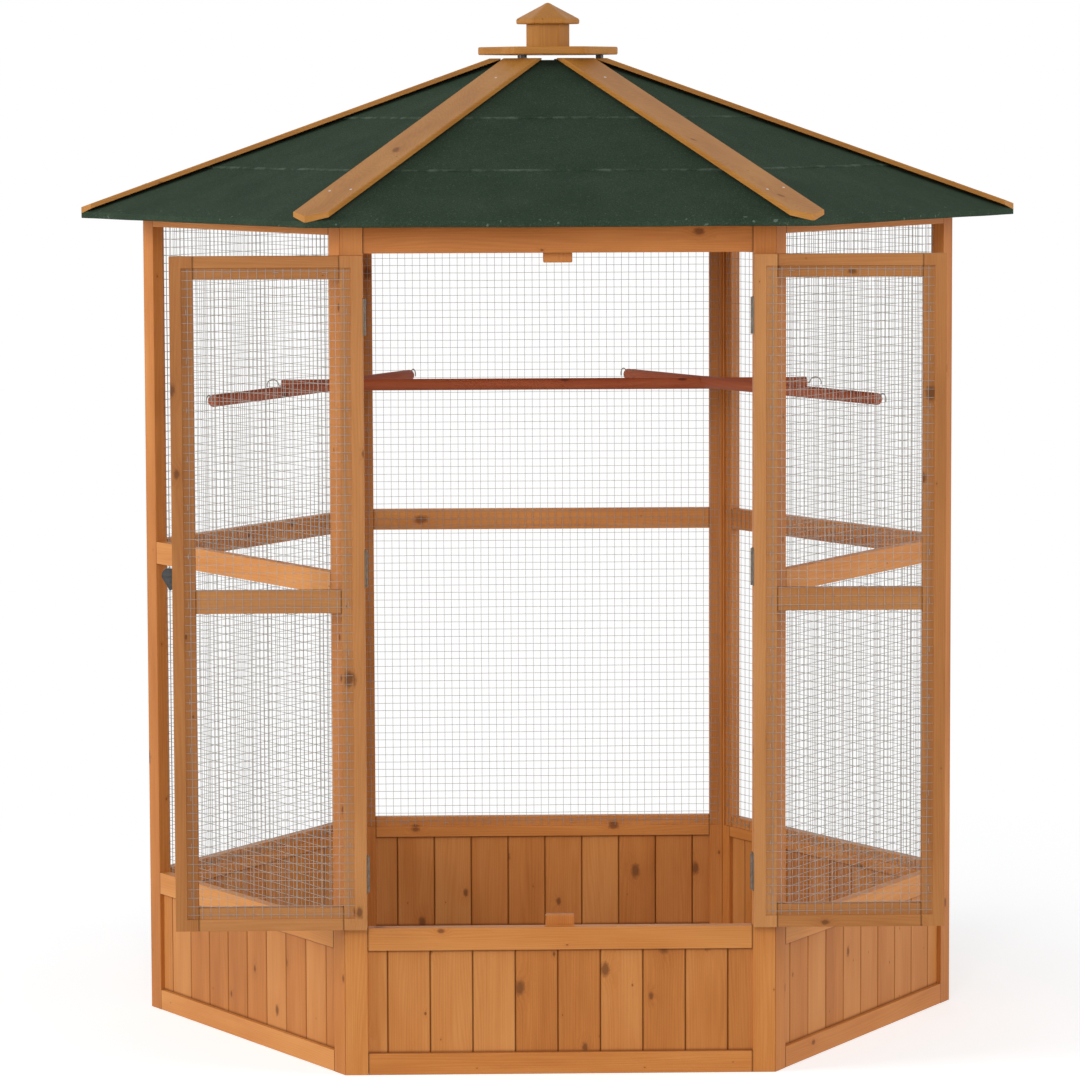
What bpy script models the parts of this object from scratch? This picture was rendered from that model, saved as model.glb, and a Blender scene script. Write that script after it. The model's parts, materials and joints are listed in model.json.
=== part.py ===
"""A hexagonal outdoor aviary for cage birds: five boarded and netted wall panels, a front with two
netted doors standing open, a felted pyramid roof on hip battens, and three perches hooked to the net.

Metres, +Z up. The origin is the centre of the hexagon on the ground, and the doors face -Y.
"""

import math

import bmesh
import bpy
from mathutils import Matrix

# Walls
WALL_SIDE = 0.850
FRAME_THICK = 0.028
STILE_WIDTH = 0.045
BOTTOM_RAIL_TOP = 0.042
SILL_LOW = 0.248
SILL_WIDTH = 0.045
MID_RAIL_CENTRE = 0.972
MID_RAIL_WIDTH = 0.046
TOP_RAIL_LOW = 1.655
LINTEL_LOW = 1.620
MITRE_GAP = 0.0006
FIT_GAP = 0.0003

# Net and the rebate it lies in
REBATE_MARGIN = 0.023
REBATE_DEPTH = 0.005
NET_THICK = 0.002
NET_BAR = 0.002
NET_EDGE_GAP = 0.001
WALL_NET_COLUMNS = 4
DOOR_NET_COLUMNS = 3
NET_ROWS_BELOW_PERCH = 8
NET_ROWS_ABOVE_PERCH = 3
DOOR_NET_ROWS = 11

# Boards
BOARD_PITCH = 0.084
BOARD_COUNT = 10
BOARD_THICK = 0.010
BOARD_RECESS = 0.009
BOARD_SHIFT = 0.005
HOUSING_DEPTH = 0.006
GROOVE_WIDTH = 0.005
GROOVE_DEPTH = 0.0025

# Doors, hinges and latch
DOOR_THICK = 0.027
DOOR_MEMBER = 0.045
DOOR_MID_RAIL_CENTRE = 0.9435
DOOR_END_GAP = 0.003
DOOR_MEETING_GAP = 0.003
HINGE_GAP = 0.004
HINGE_HEIGHTS = {"top": 1.497, "middle": 1.005, "bottom": 0.4025}
HINGE_LENGTH = 0.072
LEAF_THICK = 0.0015
LEAF_DEPTH = 0.020
KNUCKLE_RADIUS = 0.00375
KNUCKLE_GAP = 0.0005
KNUCKLE_STAND_OFF = 0.00085
PIN_RADIUS = 0.00175
PIN_CLEARANCE = 0.0004
LATCH_HEIGHT = 0.995
LATCH_INSET = 0.018
LATCH_PLATE_SIZE = (0.026, 0.044)
LATCH_PLATE_THICK = 0.002
LATCH_LEVER_THICK = 0.004
LATCH_STUD_RADIUS = 0.003
LATCH_STUD_CLEARANCE = 0.0003
LATCH_HUB_RADIUS = 0.010
LATCH_BLADE_RADIUS = 0.014
LATCH_BLADE_REACH = 0.026
LATCH_TIP_RADIUS = 0.003
LATCH_TIP_DROP = 0.027
LATCH_FRONT_SHARES = (0.94, 0.92)
LATCH_FRONT_SHIFT = 0.0006
LATCH_EDGE_SHARE = 0.6
SCREW_HEAD = ((0.0058, 0.0), (0.0058, 0.001), (0.0045, 0.0022), (0.0020, 0.0028))
SCREW_SIDES = 16
STOP_WIDTH = 0.057
STOP_THICK = 0.018
STOP_REACH = 0.020
STOP_LENGTH = 0.060
STOP_BEVEL = 0.002

# Roof
EAVE_RADIUS = 0.978
EAVE_Z = 1.686
ROOF_APEX_Z = 2.036
VENT_APOTHEM = 0.086
DECK_THICK = 0.011
FELT_THICK = 0.003
FELT_DROP = 0.013
FELT_COURSES = (0.377, 0.623)
FELT_STEP = 0.0024
HIP_GAP = 0.0004
BATTEN_WIDTH = 0.080
BATTEN_THICK = 0.0095
BATTEN_UNDERCUT = 0.02
BATTEN_TOE = 0.0008
BATTEN_END_REACH = 0.0
CAP_PLATE_RADIUS = 0.1495
CAP_PLATE_THICK = 0.0162
CAP_PLATE_Z = 2.0095
CAP_CORNER_ROUND = 0.012
CAP_EDGE_ROUND = 0.002
CAP_CORNER_STEPS = 4
CAP_EDGE_STEPS = 2
ROUND_PROFILE = 0.5
CAP_FOOT_HEIGHT = 0.0073
CAP_FOOT_RADIUS = 0.008
CAP_FOOT_REACH = 0.108
CAP_FOOT_SIDES = 12
CAP_FOOT_COUNT = 3
FINIAL_BLOCK_RADIUS = 0.046
FINIAL_BLOCK_HEIGHT = 0.047
FINIAL_CAP_RADIUS = 0.068
FINIAL_CAP_EDGE = 0.011
FINIAL_CAP_RISE = 0.0335
FINIAL_TIP_RADIUS = 0.004

# Perches
PERCH_RADIUS = 0.0125
PERCH_Z = 1.298
PERCH_LAP = 0.011
PERCH_LAP_REACH = 0.030
PERCH_END_GAP = 0.018
PERCH_SIDES = 20
PERCH_END_SHARE = 0.92
PERCH_END_CHAMFER = 0.0012
HOOK_WIRE_RADIUS = 0.00125
HOOK_RADIUS = 0.0125
HOOK_PLAY = 0.0009
HOOK_SWEEP = math.radians(200)
HOOK_ROOT = 0.012
HOOK_STEPS = 9
HOOK_SIDES = 8
CROSS_PERCH_Y = 0.395
LONG_PERCH_FRONT = {"left": 0.180, "right": 0.128}
LONG_PERCH_REAR = {"left": -0.289, "right": 0.187}

# Shared geometry
SIXTH = math.pi / 3
HALF_MITRE = math.tan(math.pi / 6)
WALL_APOTHEM = WALL_SIDE * math.cos(math.pi / 6)
EAVE_APOTHEM = EAVE_RADIUS * math.cos(math.pi / 6)
ROOF_SLOPE = (ROOF_APEX_Z - EAVE_Z) / EAVE_APOTHEM
SILL_TOP = SILL_LOW + SILL_WIDTH
OPENING_HALF = WALL_SIDE / 2 - STILE_WIDTH
REBATE_FLOOR = FRAME_THICK - REBATE_DEPTH
PIN_FORWARD = KNUCKLE_RADIUS + KNUCKLE_STAND_OFF
DOOR_WIDTH = OPENING_HALF - HINGE_GAP - DOOR_MEETING_GAP / 2
DOOR_LOW = SILL_TOP + DOOR_END_GAP
DOOR_HIGH = LINTEL_LOW - DOOR_END_GAP
OVERCUT = 0.02
SAME_LINE_AREA = 1e-9
SMOOTH_ANGLE = math.radians(35)
WALL_TURNS = {
    "front_right": 1,
    "rear_right": 2,
    "rear": 3,
    "rear_left": 4,
    "front_left": 5,
}
SECTOR_NAMES = ("front", "front_right", "rear_right", "rear", "rear_left", "front_left")
HIP_NAMES = ("front_right", "right", "rear_right", "rear_left", "left", "front_left")
DOOR_SIDES = {"left": 1, "right": -1}

for leftover in list(bpy.data.objects):
    bpy.data.objects.remove(leftover, do_unlink=True)


def material(name, colour, roughness, metallic=0.0):
    made = bpy.data.materials.new(name)
    made.use_nodes = True
    shader = made.node_tree.nodes["Principled BSDF"]
    shader.inputs["Base Color"].default_value = (*colour, 1.0)
    shader.inputs["Roughness"].default_value = roughness
    shader.inputs["Metallic"].default_value = metallic
    made.diffuse_color = (*colour, 1.0)
    return made


STAINED_WOOD = material("stained_wood", (0.55, 0.21, 0.06), 0.5)
BOARD_WOOD = material("board_wood", (0.46, 0.16, 0.045), 0.55)
PERCH_WOOD = material("perch_wood", (0.30, 0.062, 0.026), 0.55)
ROOF_FELT = material("roof_felt", (0.028, 0.048, 0.034), 0.9)
NET_WIRE = material("net_wire", (0.55, 0.58, 0.60), 0.4, 0.9)
HINGE_METAL = material("hinge_metal", (0.42, 0.40, 0.37), 0.4, 0.9)
LATCH_METAL = material("latch_metal", (0.03, 0.03, 0.032), 0.45, 0.3)


def loft(bm, rings):
    """Skins a closed solid over rings of equal length, with a flat cap at each end."""
    rows = [[bm.verts.new(point) for point in ring] for ring in rings]
    count = len(rows[0])
    for lower, upper in zip(rows, rows[1:]):
        for i in range(count):
            j = (i + 1) % count
            bm.faces.new((lower[i], lower[j], upper[j], upper[i]))
    bm.faces.new(rows[0])
    bm.faces.new(rows[-1])


def box(bm, low, high):
    corners = [(low[0], low[1]), (high[0], low[1]), (high[0], high[1]), (low[0], high[1])]
    loft(bm, [[(x, y, z) for x, y in corners] for z in (low[2], high[2])])


def circle(radius, steps, phase=0.0):
    """Corners of a regular polygon round the origin, as (x, y) pairs."""
    turns = [phase + 2 * math.pi * i / steps for i in range(steps)]
    return [(radius * math.cos(turn), radius * math.sin(turn)) for turn in turns]


def upright(outline, z):
    return [(x, y, z) for x, y in outline]


def finish(bm, name):
    """Ends a bmesh as a mesh whose faces all point outwards."""
    bmesh.ops.recalc_face_normals(bm, faces=bm.faces)
    if bm.calc_volume(signed=True) < 0.0:
        bmesh.ops.reverse_faces(bm, faces=bm.faces)
    mesh = bpy.data.meshes.new(name)
    bm.to_mesh(mesh)
    bm.free()
    return mesh


def place(name, mesh, look, turn=0.0, location=(0.0, 0.0, 0.0), parent=None):
    made = bpy.data.objects.new(name, mesh)
    if not mesh.materials:
        mesh.materials.append(look)
    made.location = location
    made.rotation_euler.z = turn
    made.parent = parent
    bpy.context.scene.collection.objects.link(made)
    return made


def helper(name, build):
    """A hidden solid that only cuts or joins."""
    bm = bmesh.new()
    build(bm)
    made = bpy.data.objects.new(name, finish(bm, name))
    made.hide_render = True
    made.display_type = "WIRE"
    bpy.context.scene.collection.objects.link(made)
    return made


def combined(name, build, cutters=(), joined=()):
    """The mesh of one shape after its unions and cuts, with the helpers removed again."""
    base = helper(name, build)
    helpers = [base]
    steps = [("UNION", part) for part in joined] + [("DIFFERENCE", part) for part in cutters]
    for index, (operation, part) in enumerate(steps):
        tool = helper(f"{name}_tool_{index}", part)
        step = base.modifiers.new(f"{operation.lower()}_{index}", "BOOLEAN")
        step.operation = operation
        step.object = tool
        helpers.append(tool)
    graph = bpy.context.evaluated_depsgraph_get()
    mesh = bpy.data.meshes.new_from_object(base.evaluated_get(graph))
    mesh.name = name
    mesh.materials.clear()
    for tool in helpers:
        bpy.data.objects.remove(tool, do_unlink=True)
    return mesh


def smooth(mesh):
    mesh.shade_smooth()
    mesh.set_sharp_from_angle(angle=SMOOTH_ANGLE)
    return mesh


def roof_top(apothem):
    """Height of the roof's nominal surface at a distance from the centre, square to an eave."""
    return ROOF_APEX_Z - ROOF_SLOPE * apothem


def roof_underside(apothem):
    return roof_top(apothem) - DECK_THICK - FELT_THICK


def wall_top(depth):
    """Top of a wall at a depth from its outer face: it is planed to the roof's slope."""
    return roof_underside(WALL_APOTHEM - depth) - FIT_GAP


def wall_turn(name):
    return WALL_TURNS.get(name, 0) * SIXTH


def wall_origin(turn):
    """Middle of a wall's outer face on the ground."""
    return (WALL_APOTHEM * math.sin(turn), -WALL_APOTHEM * math.cos(turn), 0.0)


def mitred_plate(bm, left, right):
    """A full-height plate between two ends, each (x at the outer face, x change per depth)."""
    depths = (0.0, FRAME_THICK)
    outline = [(left[0] + left[1] * depths[0], depths[0]), (right[0] + right[1] * depths[0], depths[0])]
    outline += [(right[0] + right[1] * depths[1], depths[1]), (left[0] + left[1] * depths[1], depths[1])]
    loft(bm, [upright(outline, 0.0), [(x, y, wall_top(y)) for x, y in outline]])


def corner_x():
    """Where a mitred stile ends on the outer face, half the mitre gap short of the corner."""
    return WALL_SIDE / 2 - MITRE_GAP / 2 / math.cos(math.pi / 6)


def wall_blank(bm):
    mitred_plate(bm, (-corner_x(), HALF_MITRE), (corner_x(), -HALF_MITRE))


def wall_windows(bm):
    half = OPENING_HALF
    mid_low = MID_RAIL_CENTRE - MID_RAIL_WIDTH / 2
    mid_high = MID_RAIL_CENTRE + MID_RAIL_WIDTH / 2
    for low, high in ((BOTTOM_RAIL_TOP, SILL_LOW), (SILL_TOP, mid_low), (mid_high, TOP_RAIL_LOW)):
        box(bm, (-half, -OVERCUT, low), (half, FRAME_THICK + OVERCUT, high))


def rebate_limits():
    """Half width, low and high edge of the wall rebate that the net lies in."""
    half = WALL_SIDE / 2 - REBATE_MARGIN
    low = SILL_LOW + REBATE_MARGIN
    high = TOP_RAIL_LOW + STILE_WIDTH - REBATE_MARGIN
    return half, low, high


def wall_rebate(bm):
    half, low, high = rebate_limits()
    box(bm, (-half, REBATE_FLOOR, low), (half, FRAME_THICK + OVERCUT, high))


def board_housing(bm):
    """The groove in the frame's edges that takes the boards' ends and sides."""
    half = OPENING_HALF + HOUSING_DEPTH
    front = BOARD_RECESS - FIT_GAP
    back = BOARD_RECESS + BOARD_THICK + FIT_GAP
    low, high = BOTTOM_RAIL_TOP - HOUSING_DEPTH, SILL_LOW + HOUSING_DEPTH
    box(bm, (-half, front, low), (half, back, high))


def boards_mesh():
    """Matched boards in one sheet, with a V groove on both faces at each joint."""
    half = OPENING_HALF + HOUSING_DEPTH - FIT_GAP
    low = BOTTOM_RAIL_TOP - HOUSING_DEPTH + FIT_GAP
    high = SILL_LOW + HOUSING_DEPTH - FIT_GAP
    joints = [BOARD_PITCH * (i + 1 - BOARD_COUNT / 2) - BOARD_SHIFT for i in range(BOARD_COUNT - 1)]
    front = [(-half, 0.0)]
    for x in joints:
        front += [(x - GROOVE_WIDTH / 2, 0.0), (x, GROOVE_DEPTH), (x + GROOVE_WIDTH / 2, 0.0)]
    front.append((half, 0.0))
    back = [(x, BOARD_THICK - y) for x, y in reversed(front)]
    outline = [(x, BOARD_RECESS + y) for x, y in front + back]
    bm = bmesh.new()
    loft(bm, [upright(outline, low), upright(outline, high)])
    return finish(bm, "boards")


def net_mesh(name, columns, rows, depth):
    """A flat net: bars along every column and row line, joined where they cross."""
    half_bar = NET_BAR / 2
    xs = [edge for line in columns for edge in (line - half_bar, line + half_bar)]
    zs = [edge for line in rows for edge in (line - half_bar, line + half_bar)]
    bm = bmesh.new()
    grid = [[bm.verts.new((x, depth, z)) for x in xs] for z in zs]
    for k in range(len(zs) - 1):
        for i in range(len(xs) - 1):
            if i % 2 == 0 or k % 2 == 0:
                bm.faces.new((grid[k][i], grid[k][i + 1], grid[k + 1][i + 1], grid[k + 1][i]))
    sheet = list(bm.faces)
    raised = bmesh.ops.extrude_face_region(bm, geom=sheet, use_keep_orig=True)["geom"]
    moved = [item for item in raised if isinstance(item, bmesh.types.BMVert)]
    bmesh.ops.translate(bm, verts=moved, vec=(0.0, NET_THICK, 0.0))
    return finish(bm, name)


def spread(low, high, gaps):
    return [low + (high - low) * i / gaps for i in range(gaps + 1)]


def perch_level(cross):
    """Axis height of a perch: the two long ones lie on the cross perch, let into it and it into them."""
    return PERCH_Z + (PERCH_RADIUS - PERCH_LAP) * (-1 if cross else 1)


def hook_bar_level(cross):
    """Centre height of the net bar that a perch's hooks hang on."""
    return perch_level(cross) + HOOK_RADIUS - HOOK_WIRE_RADIUS - HOOK_PLAY - NET_BAR / 2


def wall_net(name, cross):
    half, low, high = rebate_limits()
    inset = NET_EDGE_GAP + NET_BAR / 2
    columns = spread(inset - half, half - inset, WALL_NET_COLUMNS)
    level = hook_bar_level(cross)
    below = spread(low + inset, level, NET_ROWS_BELOW_PERCH)
    above = spread(level, high - inset, NET_ROWS_ABOVE_PERCH)
    return net_mesh(name, columns, below + above[1:], REBATE_FLOOR + FIT_GAP)


def build_walls():
    frame = combined("wall_frame", wall_blank, (board_housing, wall_windows, wall_rebate))
    boards = boards_mesh()
    nets = {cross: wall_net(f"wall_net_{int(cross)}", cross) for cross in (False, True)}
    for name in WALL_TURNS:
        turn = wall_turn(name)
        origin = wall_origin(turn)
        carries_cross = name in ("rear_left", "rear_right")
        place(f"wall_frame_{name}", frame, STAINED_WOOD, turn, origin)
        place(f"wall_boards_{name}", boards, BOARD_WOOD, turn, origin)
        place(f"wall_net_{name}", nets[carries_cross], NET_WIRE, turn, origin)


def build_front():
    origin = wall_origin(0.0)
    inner = OPENING_HALF
    posts = {
        "left": ((-corner_x(), HALF_MITRE), (-inner, 0.0)),
        "right": ((inner, 0.0), (corner_x(), -HALF_MITRE)),
    }
    for side, (left, right) in posts.items():
        mesh = combined(f"post_{side}", lambda bm: mitred_plate(bm, left, right), (board_housing,))
        place(f"front_post_{side}", mesh, STAINED_WOOD, 0.0, origin)

    half = inner - FIT_GAP
    rails = {"threshold_rail": (SILL_LOW, SILL_TOP), "front_bottom_rail": (0.0, BOTTOM_RAIL_TOP)}
    for name, (low, high) in rails.items():
        def rail(bm, low=low, high=high):
            box(bm, (-half, 0.0, low), (half, FRAME_THICK, high))
        place(name, combined(name, rail, (board_housing,)), STAINED_WOOD, 0.0, origin)

    bm = bmesh.new()
    outline = [(-half, 0.0), (half, 0.0), (half, FRAME_THICK), (-half, FRAME_THICK)]
    loft(bm, [upright(outline, LINTEL_LOW), [(x, y, wall_top(y)) for x, y in outline]])
    place("lintel", finish(bm, "lintel"), STAINED_WOOD, 0.0, origin)
    place("front_boards", boards_mesh(), BOARD_WOOD, 0.0, origin)

    stop_front = FRAME_THICK + FIT_GAP
    stops = {
        "door_stop_top": (LINTEL_LOW - STOP_REACH, LINTEL_LOW - STOP_REACH + STOP_LENGTH),
        "door_stop_bottom": (SILL_TOP + STOP_REACH - STOP_LENGTH, SILL_TOP + STOP_REACH),
    }
    for name, (low, high) in stops.items():
        bm = bmesh.new()
        box(bm, (-STOP_WIDTH / 2, stop_front, low), (STOP_WIDTH / 2, stop_front + STOP_THICK, high))
        bmesh.ops.bevel(bm, geom=bm.edges[:], offset=STOP_BEVEL, segments=1, affect="EDGES")
        place(name, finish(bm, name), STAINED_WOOD, 0.0, origin)


def mirrored(side, build):
    """Builds the left door's shape, or its mirror image for the right door."""
    def both(bm):
        build(bm)
        if side < 0:
            bmesh.ops.scale(bm, vec=(-1.0, 1.0, 1.0), verts=bm.verts)
    return both


def door_blank(bm):
    start = HINGE_GAP / 2
    box(bm, (start, PIN_FORWARD, DOOR_LOW), (start + DOOR_WIDTH, PIN_FORWARD + DOOR_THICK, DOOR_HIGH))


def door_windows(bm):
    start = HINGE_GAP / 2
    left, right = start + DOOR_MEMBER, start + DOOR_WIDTH - DOOR_MEMBER
    mid_low = DOOR_MID_RAIL_CENTRE - DOOR_MEMBER / 2
    mid_high = DOOR_MID_RAIL_CENTRE + DOOR_MEMBER / 2
    for low, high in ((DOOR_LOW + DOOR_MEMBER, mid_low), (mid_high, DOOR_HIGH - DOOR_MEMBER)):
        box(bm, (left, -OVERCUT, low), (right, PIN_FORWARD + DOOR_THICK + OVERCUT, high))


def door_rebate_limits():
    start = HINGE_GAP / 2
    low, high = DOOR_LOW + REBATE_MARGIN, DOOR_HIGH - REBATE_MARGIN
    return start + REBATE_MARGIN, start + DOOR_WIDTH - REBATE_MARGIN, low, high


def door_rebate(bm):
    left, right, low, high = door_rebate_limits()
    floor = PIN_FORWARD + DOOR_THICK - REBATE_DEPTH
    box(bm, (left, floor, low), (right, floor + REBATE_DEPTH + OVERCUT, high))


def door_net(name, side):
    left, right, low, high = door_rebate_limits()
    inset = NET_EDGE_GAP + NET_BAR / 2
    columns = [side * x for x in spread(left + inset, right - inset, DOOR_NET_COLUMNS)][::side]
    rows = spread(low + inset, high - inset, DOOR_NET_ROWS)
    return net_mesh(name, columns, rows, PIN_FORWARD + DOOR_THICK - REBATE_DEPTH + FIT_GAP)


def knuckle_spans():
    third = HINGE_LENGTH / 3
    outer = ((-HINGE_LENGTH / 2, -third / 2), (third / 2, HINGE_LENGTH / 2))
    middle = ((KNUCKLE_GAP - third / 2, third / 2 - KNUCKLE_GAP),)
    return outer, middle


def round_bar(radius, low, high, steps=16):
    def build(bm):
        outline = circle(radius, steps, math.pi / steps)
        loft(bm, [upright(outline, low), upright(outline, high)])
    return build


def hinge_leaf(name, on_door):
    """The post's leaf carries the pin and the outer knuckles, the door's leaf the middle one."""
    outer, middle = knuckle_spans()
    spans = middle if on_door else outer
    edge = KNUCKLE_RADIUS + KNUCKLE_GAP
    near = HINGE_GAP / 2 - FIT_GAP
    x_low, x_high = (near - LEAF_THICK, near) if on_door else (-near, LEAF_THICK - near)

    def slab(low, high, y_low, y_high):
        return lambda bm: box(bm, (x_low, y_low, low), (x_high, y_high, high))

    flat = slab(-HINGE_LENGTH / 2, HINGE_LENGTH / 2, edge, PIN_FORWARD + LEAF_DEPTH)
    joined = [slab(low, high, 0.0, edge + LEAF_THICK) for low, high in spans]
    joined += [round_bar(KNUCKLE_RADIUS, low, high) for low, high in spans]
    cutters = []
    if on_door:
        cutters.append(round_bar(PIN_RADIUS + PIN_CLEARANCE, -HINGE_LENGTH, HINGE_LENGTH))
    else:
        joined.append(round_bar(PIN_RADIUS, -HINGE_LENGTH / 2, HINGE_LENGTH / 2))
    return smooth(combined(name, flat, cutters, joined))


def hull_outline(discs, steps=10):
    """Outline round a few discs (x, z, radius), as a belt would lie on them."""
    points = [
        (x + px, z + pz)
        for x, z, radius in discs
        for px, pz in circle(radius, 4 * steps)
    ]
    points.sort()
    chains = []
    for ordered in (points, points[::-1]):
        chain = []
        for point in ordered:
            while len(chain) > 1:
                (ax, az), (bx, bz) = chain[-2:]
                if (bx - ax) * (point[1] - az) - (bz - az) * (point[0] - ax) > SAME_LINE_AREA:
                    break
                chain.pop()
            chain.append(point)
        chains += chain[:-1]
    return chains


def across(outline, y_low, y_high, centre):
    """Two rings of an (x, z) outline, at two depths."""
    return [[(centre[0] + x, y, centre[1] + z) for x, z in outline] for y in (y_low, y_high)]


def latch_centre():
    return HINGE_GAP / 2 + DOOR_WIDTH - LATCH_INSET, LATCH_HEIGHT


def build_latch(door_axis):
    centre = latch_centre()
    face = PIN_FORWARD - FIT_GAP
    plate_back = face - LATCH_PLATE_THICK
    stud_end = plate_back - FIT_GAP - LATCH_LEVER_THICK - FIT_GAP
    width, height = LATCH_PLATE_SIZE
    corner = width / 2
    plate_outline = hull_outline([
        (0.0, height / 2 - corner, corner),
        (0.0, corner - height / 2, corner),
    ], 5)
    stud_outline = circle(LATCH_STUD_RADIUS, SCREW_SIDES)

    plate = combined(
        "latch_plate",
        lambda bm: loft(bm, across(plate_outline, plate_back, face, centre)),
        joined=(lambda bm: loft(bm, across(stud_outline, stud_end, face - FIT_GAP, centre)),),
    )
    place("latch_plate", smooth(plate), LATCH_METAL, parent=door_axis)

    lever_outline = hull_outline([
        (0.0, 0.0, LATCH_HUB_RADIUS),
        (LATCH_BLADE_REACH, 0.0, LATCH_BLADE_RADIUS),
        (LATCH_BLADE_REACH - LATCH_TIP_RADIUS, -LATCH_TIP_DROP, LATCH_TIP_RADIUS),
    ], 5)
    bore_outline = circle(LATCH_STUD_RADIUS + LATCH_STUD_CLEARANCE, SCREW_SIDES)
    lever_back = plate_back - FIT_GAP
    lever_front = lever_back - LATCH_LEVER_THICK

    def lever_body(bm):
        middle = lever_back - LATCH_LEVER_THICK * LATCH_EDGE_SHARE
        share_x, share_z = LATCH_FRONT_SHARES
        shrunk = [(x * share_x + LATCH_FRONT_SHIFT, z * share_z) for x, z in lever_outline]
        rings = across(lever_outline, lever_back, middle, (0.0, 0.0))
        rings += across(shrunk, lever_front, lever_front, (0.0, 0.0))[:1]
        loft(bm, rings)

    lever = combined(
        "latch_lever",
        lever_body,
        (lambda bm: loft(bm, across(bore_outline, lever_front - OVERCUT, lever_back + OVERCUT, (0.0, 0.0))),),
    )
    place("latch_lever", smooth(lever), LATCH_METAL, location=(centre[0], 0.0, centre[1]), parent=door_axis)

    bm = bmesh.new()
    rings = [
        [(centre[0] + x, stud_end - FIT_GAP - rise, centre[1] + z) for x, z in circle(radius, SCREW_SIDES)]
        for radius, rise in SCREW_HEAD
    ]
    loft(bm, rings)
    place("latch_screw", smooth(finish(bm, "latch_screw")), LATCH_METAL, parent=door_axis)


def build_doors():
    """Each door turns about an empty on its hinge pins, and stands open half a turn at rest."""
    leaves = {on_door: hinge_leaf(f"leaf_{int(on_door)}", on_door) for on_door in (False, True)}
    for name, side in DOOR_SIDES.items():
        pin = (side * (HINGE_GAP / 2 - OPENING_HALF), -WALL_APOTHEM - PIN_FORWARD, 0.0)
        axis = bpy.data.objects.new(f"{name}_door_axis", None)
        axis.location = pin
        axis.rotation_euler.z = math.pi
        bpy.context.scene.collection.objects.link(axis)

        tools = tuple(mirrored(side, cut) for cut in (door_windows, door_rebate))
        frame = combined(f"{name}_door_frame", mirrored(side, door_blank), tools)
        place(f"{name}_door_frame", frame, STAINED_WOOD, parent=axis)
        place(f"{name}_door_net", door_net(f"{name}_door_net", side), NET_WIRE, parent=axis)

        for level, height in HINGE_HEIGHTS.items():
            # A hinge turned upside down fits the other side, because its knuckles are symmetrical.
            flip = Matrix.Rotation(0.0 if side > 0 else math.pi, 4, "Y")
            for on_door in (False, True):
                kind = "door_leaf" if on_door else "post_leaf"
                leaf = place(f"{name}_hinge_{level}_{kind}", leaves[on_door], HINGE_METAL)
                if on_door:
                    leaf.parent = axis
                    leaf.matrix_basis = Matrix.Translation((0.0, 0.0, height)) @ flip
                else:
                    leaf.matrix_basis = Matrix.Translation((pin[0], pin[1], height)) @ flip
        if side > 0:
            build_latch(axis)


def roof_profile():
    """Section of a roof panel square to its eave, as (distance from the centre, height) pairs."""
    eave, back = EAVE_APOTHEM, EAVE_APOTHEM - FELT_THICK
    drip, deck_end = roof_top(eave) - FELT_DROP, back - FELT_THICK
    profile = [(VENT_APOTHEM, roof_top(VENT_APOTHEM) - FELT_STEP)]
    for edge in FELT_COURSES:
        profile += [(edge, roof_top(edge)), (edge + FELT_THICK / 2, roof_top(edge) - FELT_STEP)]
    profile += [(back, roof_top(back)), (eave, roof_top(eave) - FELT_THICK / 2)]
    profile += [(eave, drip), (back, drip)]
    profile += [(deck_end, roof_underside(deck_end)), (VENT_APOTHEM, roof_underside(VENT_APOTHEM))]
    return profile


def build_roof():
    profile = roof_profile()
    bm = bmesh.new()
    reach = HIP_GAP / math.sqrt(3)
    rings = [[(end * (a * HALF_MITRE - reach), -a, z) for a, z in profile] for end in (-1, 1)]
    loft(bm, rings)
    panel = finish(bm, "roof_panel")
    for index, name in enumerate(SECTOR_NAMES):
        place(f"roof_panel_{name}", panel, ROOF_FELT, index * SIXTH)

    batten = batten_mesh()
    for index, name in enumerate(HIP_NAMES):
        place(f"hip_batten_{name}", batten, STAINED_WOOD, index * SIXTH - SIXTH)

    place("cap_plate", cap_plate_mesh(), STAINED_WOOD)
    block_base = CAP_PLATE_Z + CAP_PLATE_THICK + FIT_GAP
    cap_base = block_base + FINIAL_BLOCK_HEIGHT + FIT_GAP
    hexagons = {
        "finial_block": (
            block_base,
            ((FINIAL_BLOCK_RADIUS, 0.0), (FINIAL_BLOCK_RADIUS, FINIAL_BLOCK_HEIGHT)),
        ),
        "finial_cap": (
            cap_base,
            (
                (FINIAL_CAP_RADIUS, 0.0),
                (FINIAL_CAP_RADIUS, FINIAL_CAP_EDGE),
                (FINIAL_TIP_RADIUS, FINIAL_CAP_EDGE + FINIAL_CAP_RISE),
            ),
        ),
    }
    for name, (base, steps) in hexagons.items():
        bm = bmesh.new()
        loft(bm, [upright(circle(radius, len(HIP_NAMES)), base + rise) for radius, rise in steps])
        place(name, finish(bm, name), STAINED_WOOD)


def ease(bm, edges, radius, steps):
    """Rounds edges to a radius."""
    bmesh.ops.bevel(bm, geom=edges, offset=radius, segments=steps, profile=ROUND_PROFILE, affect="EDGES")


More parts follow.
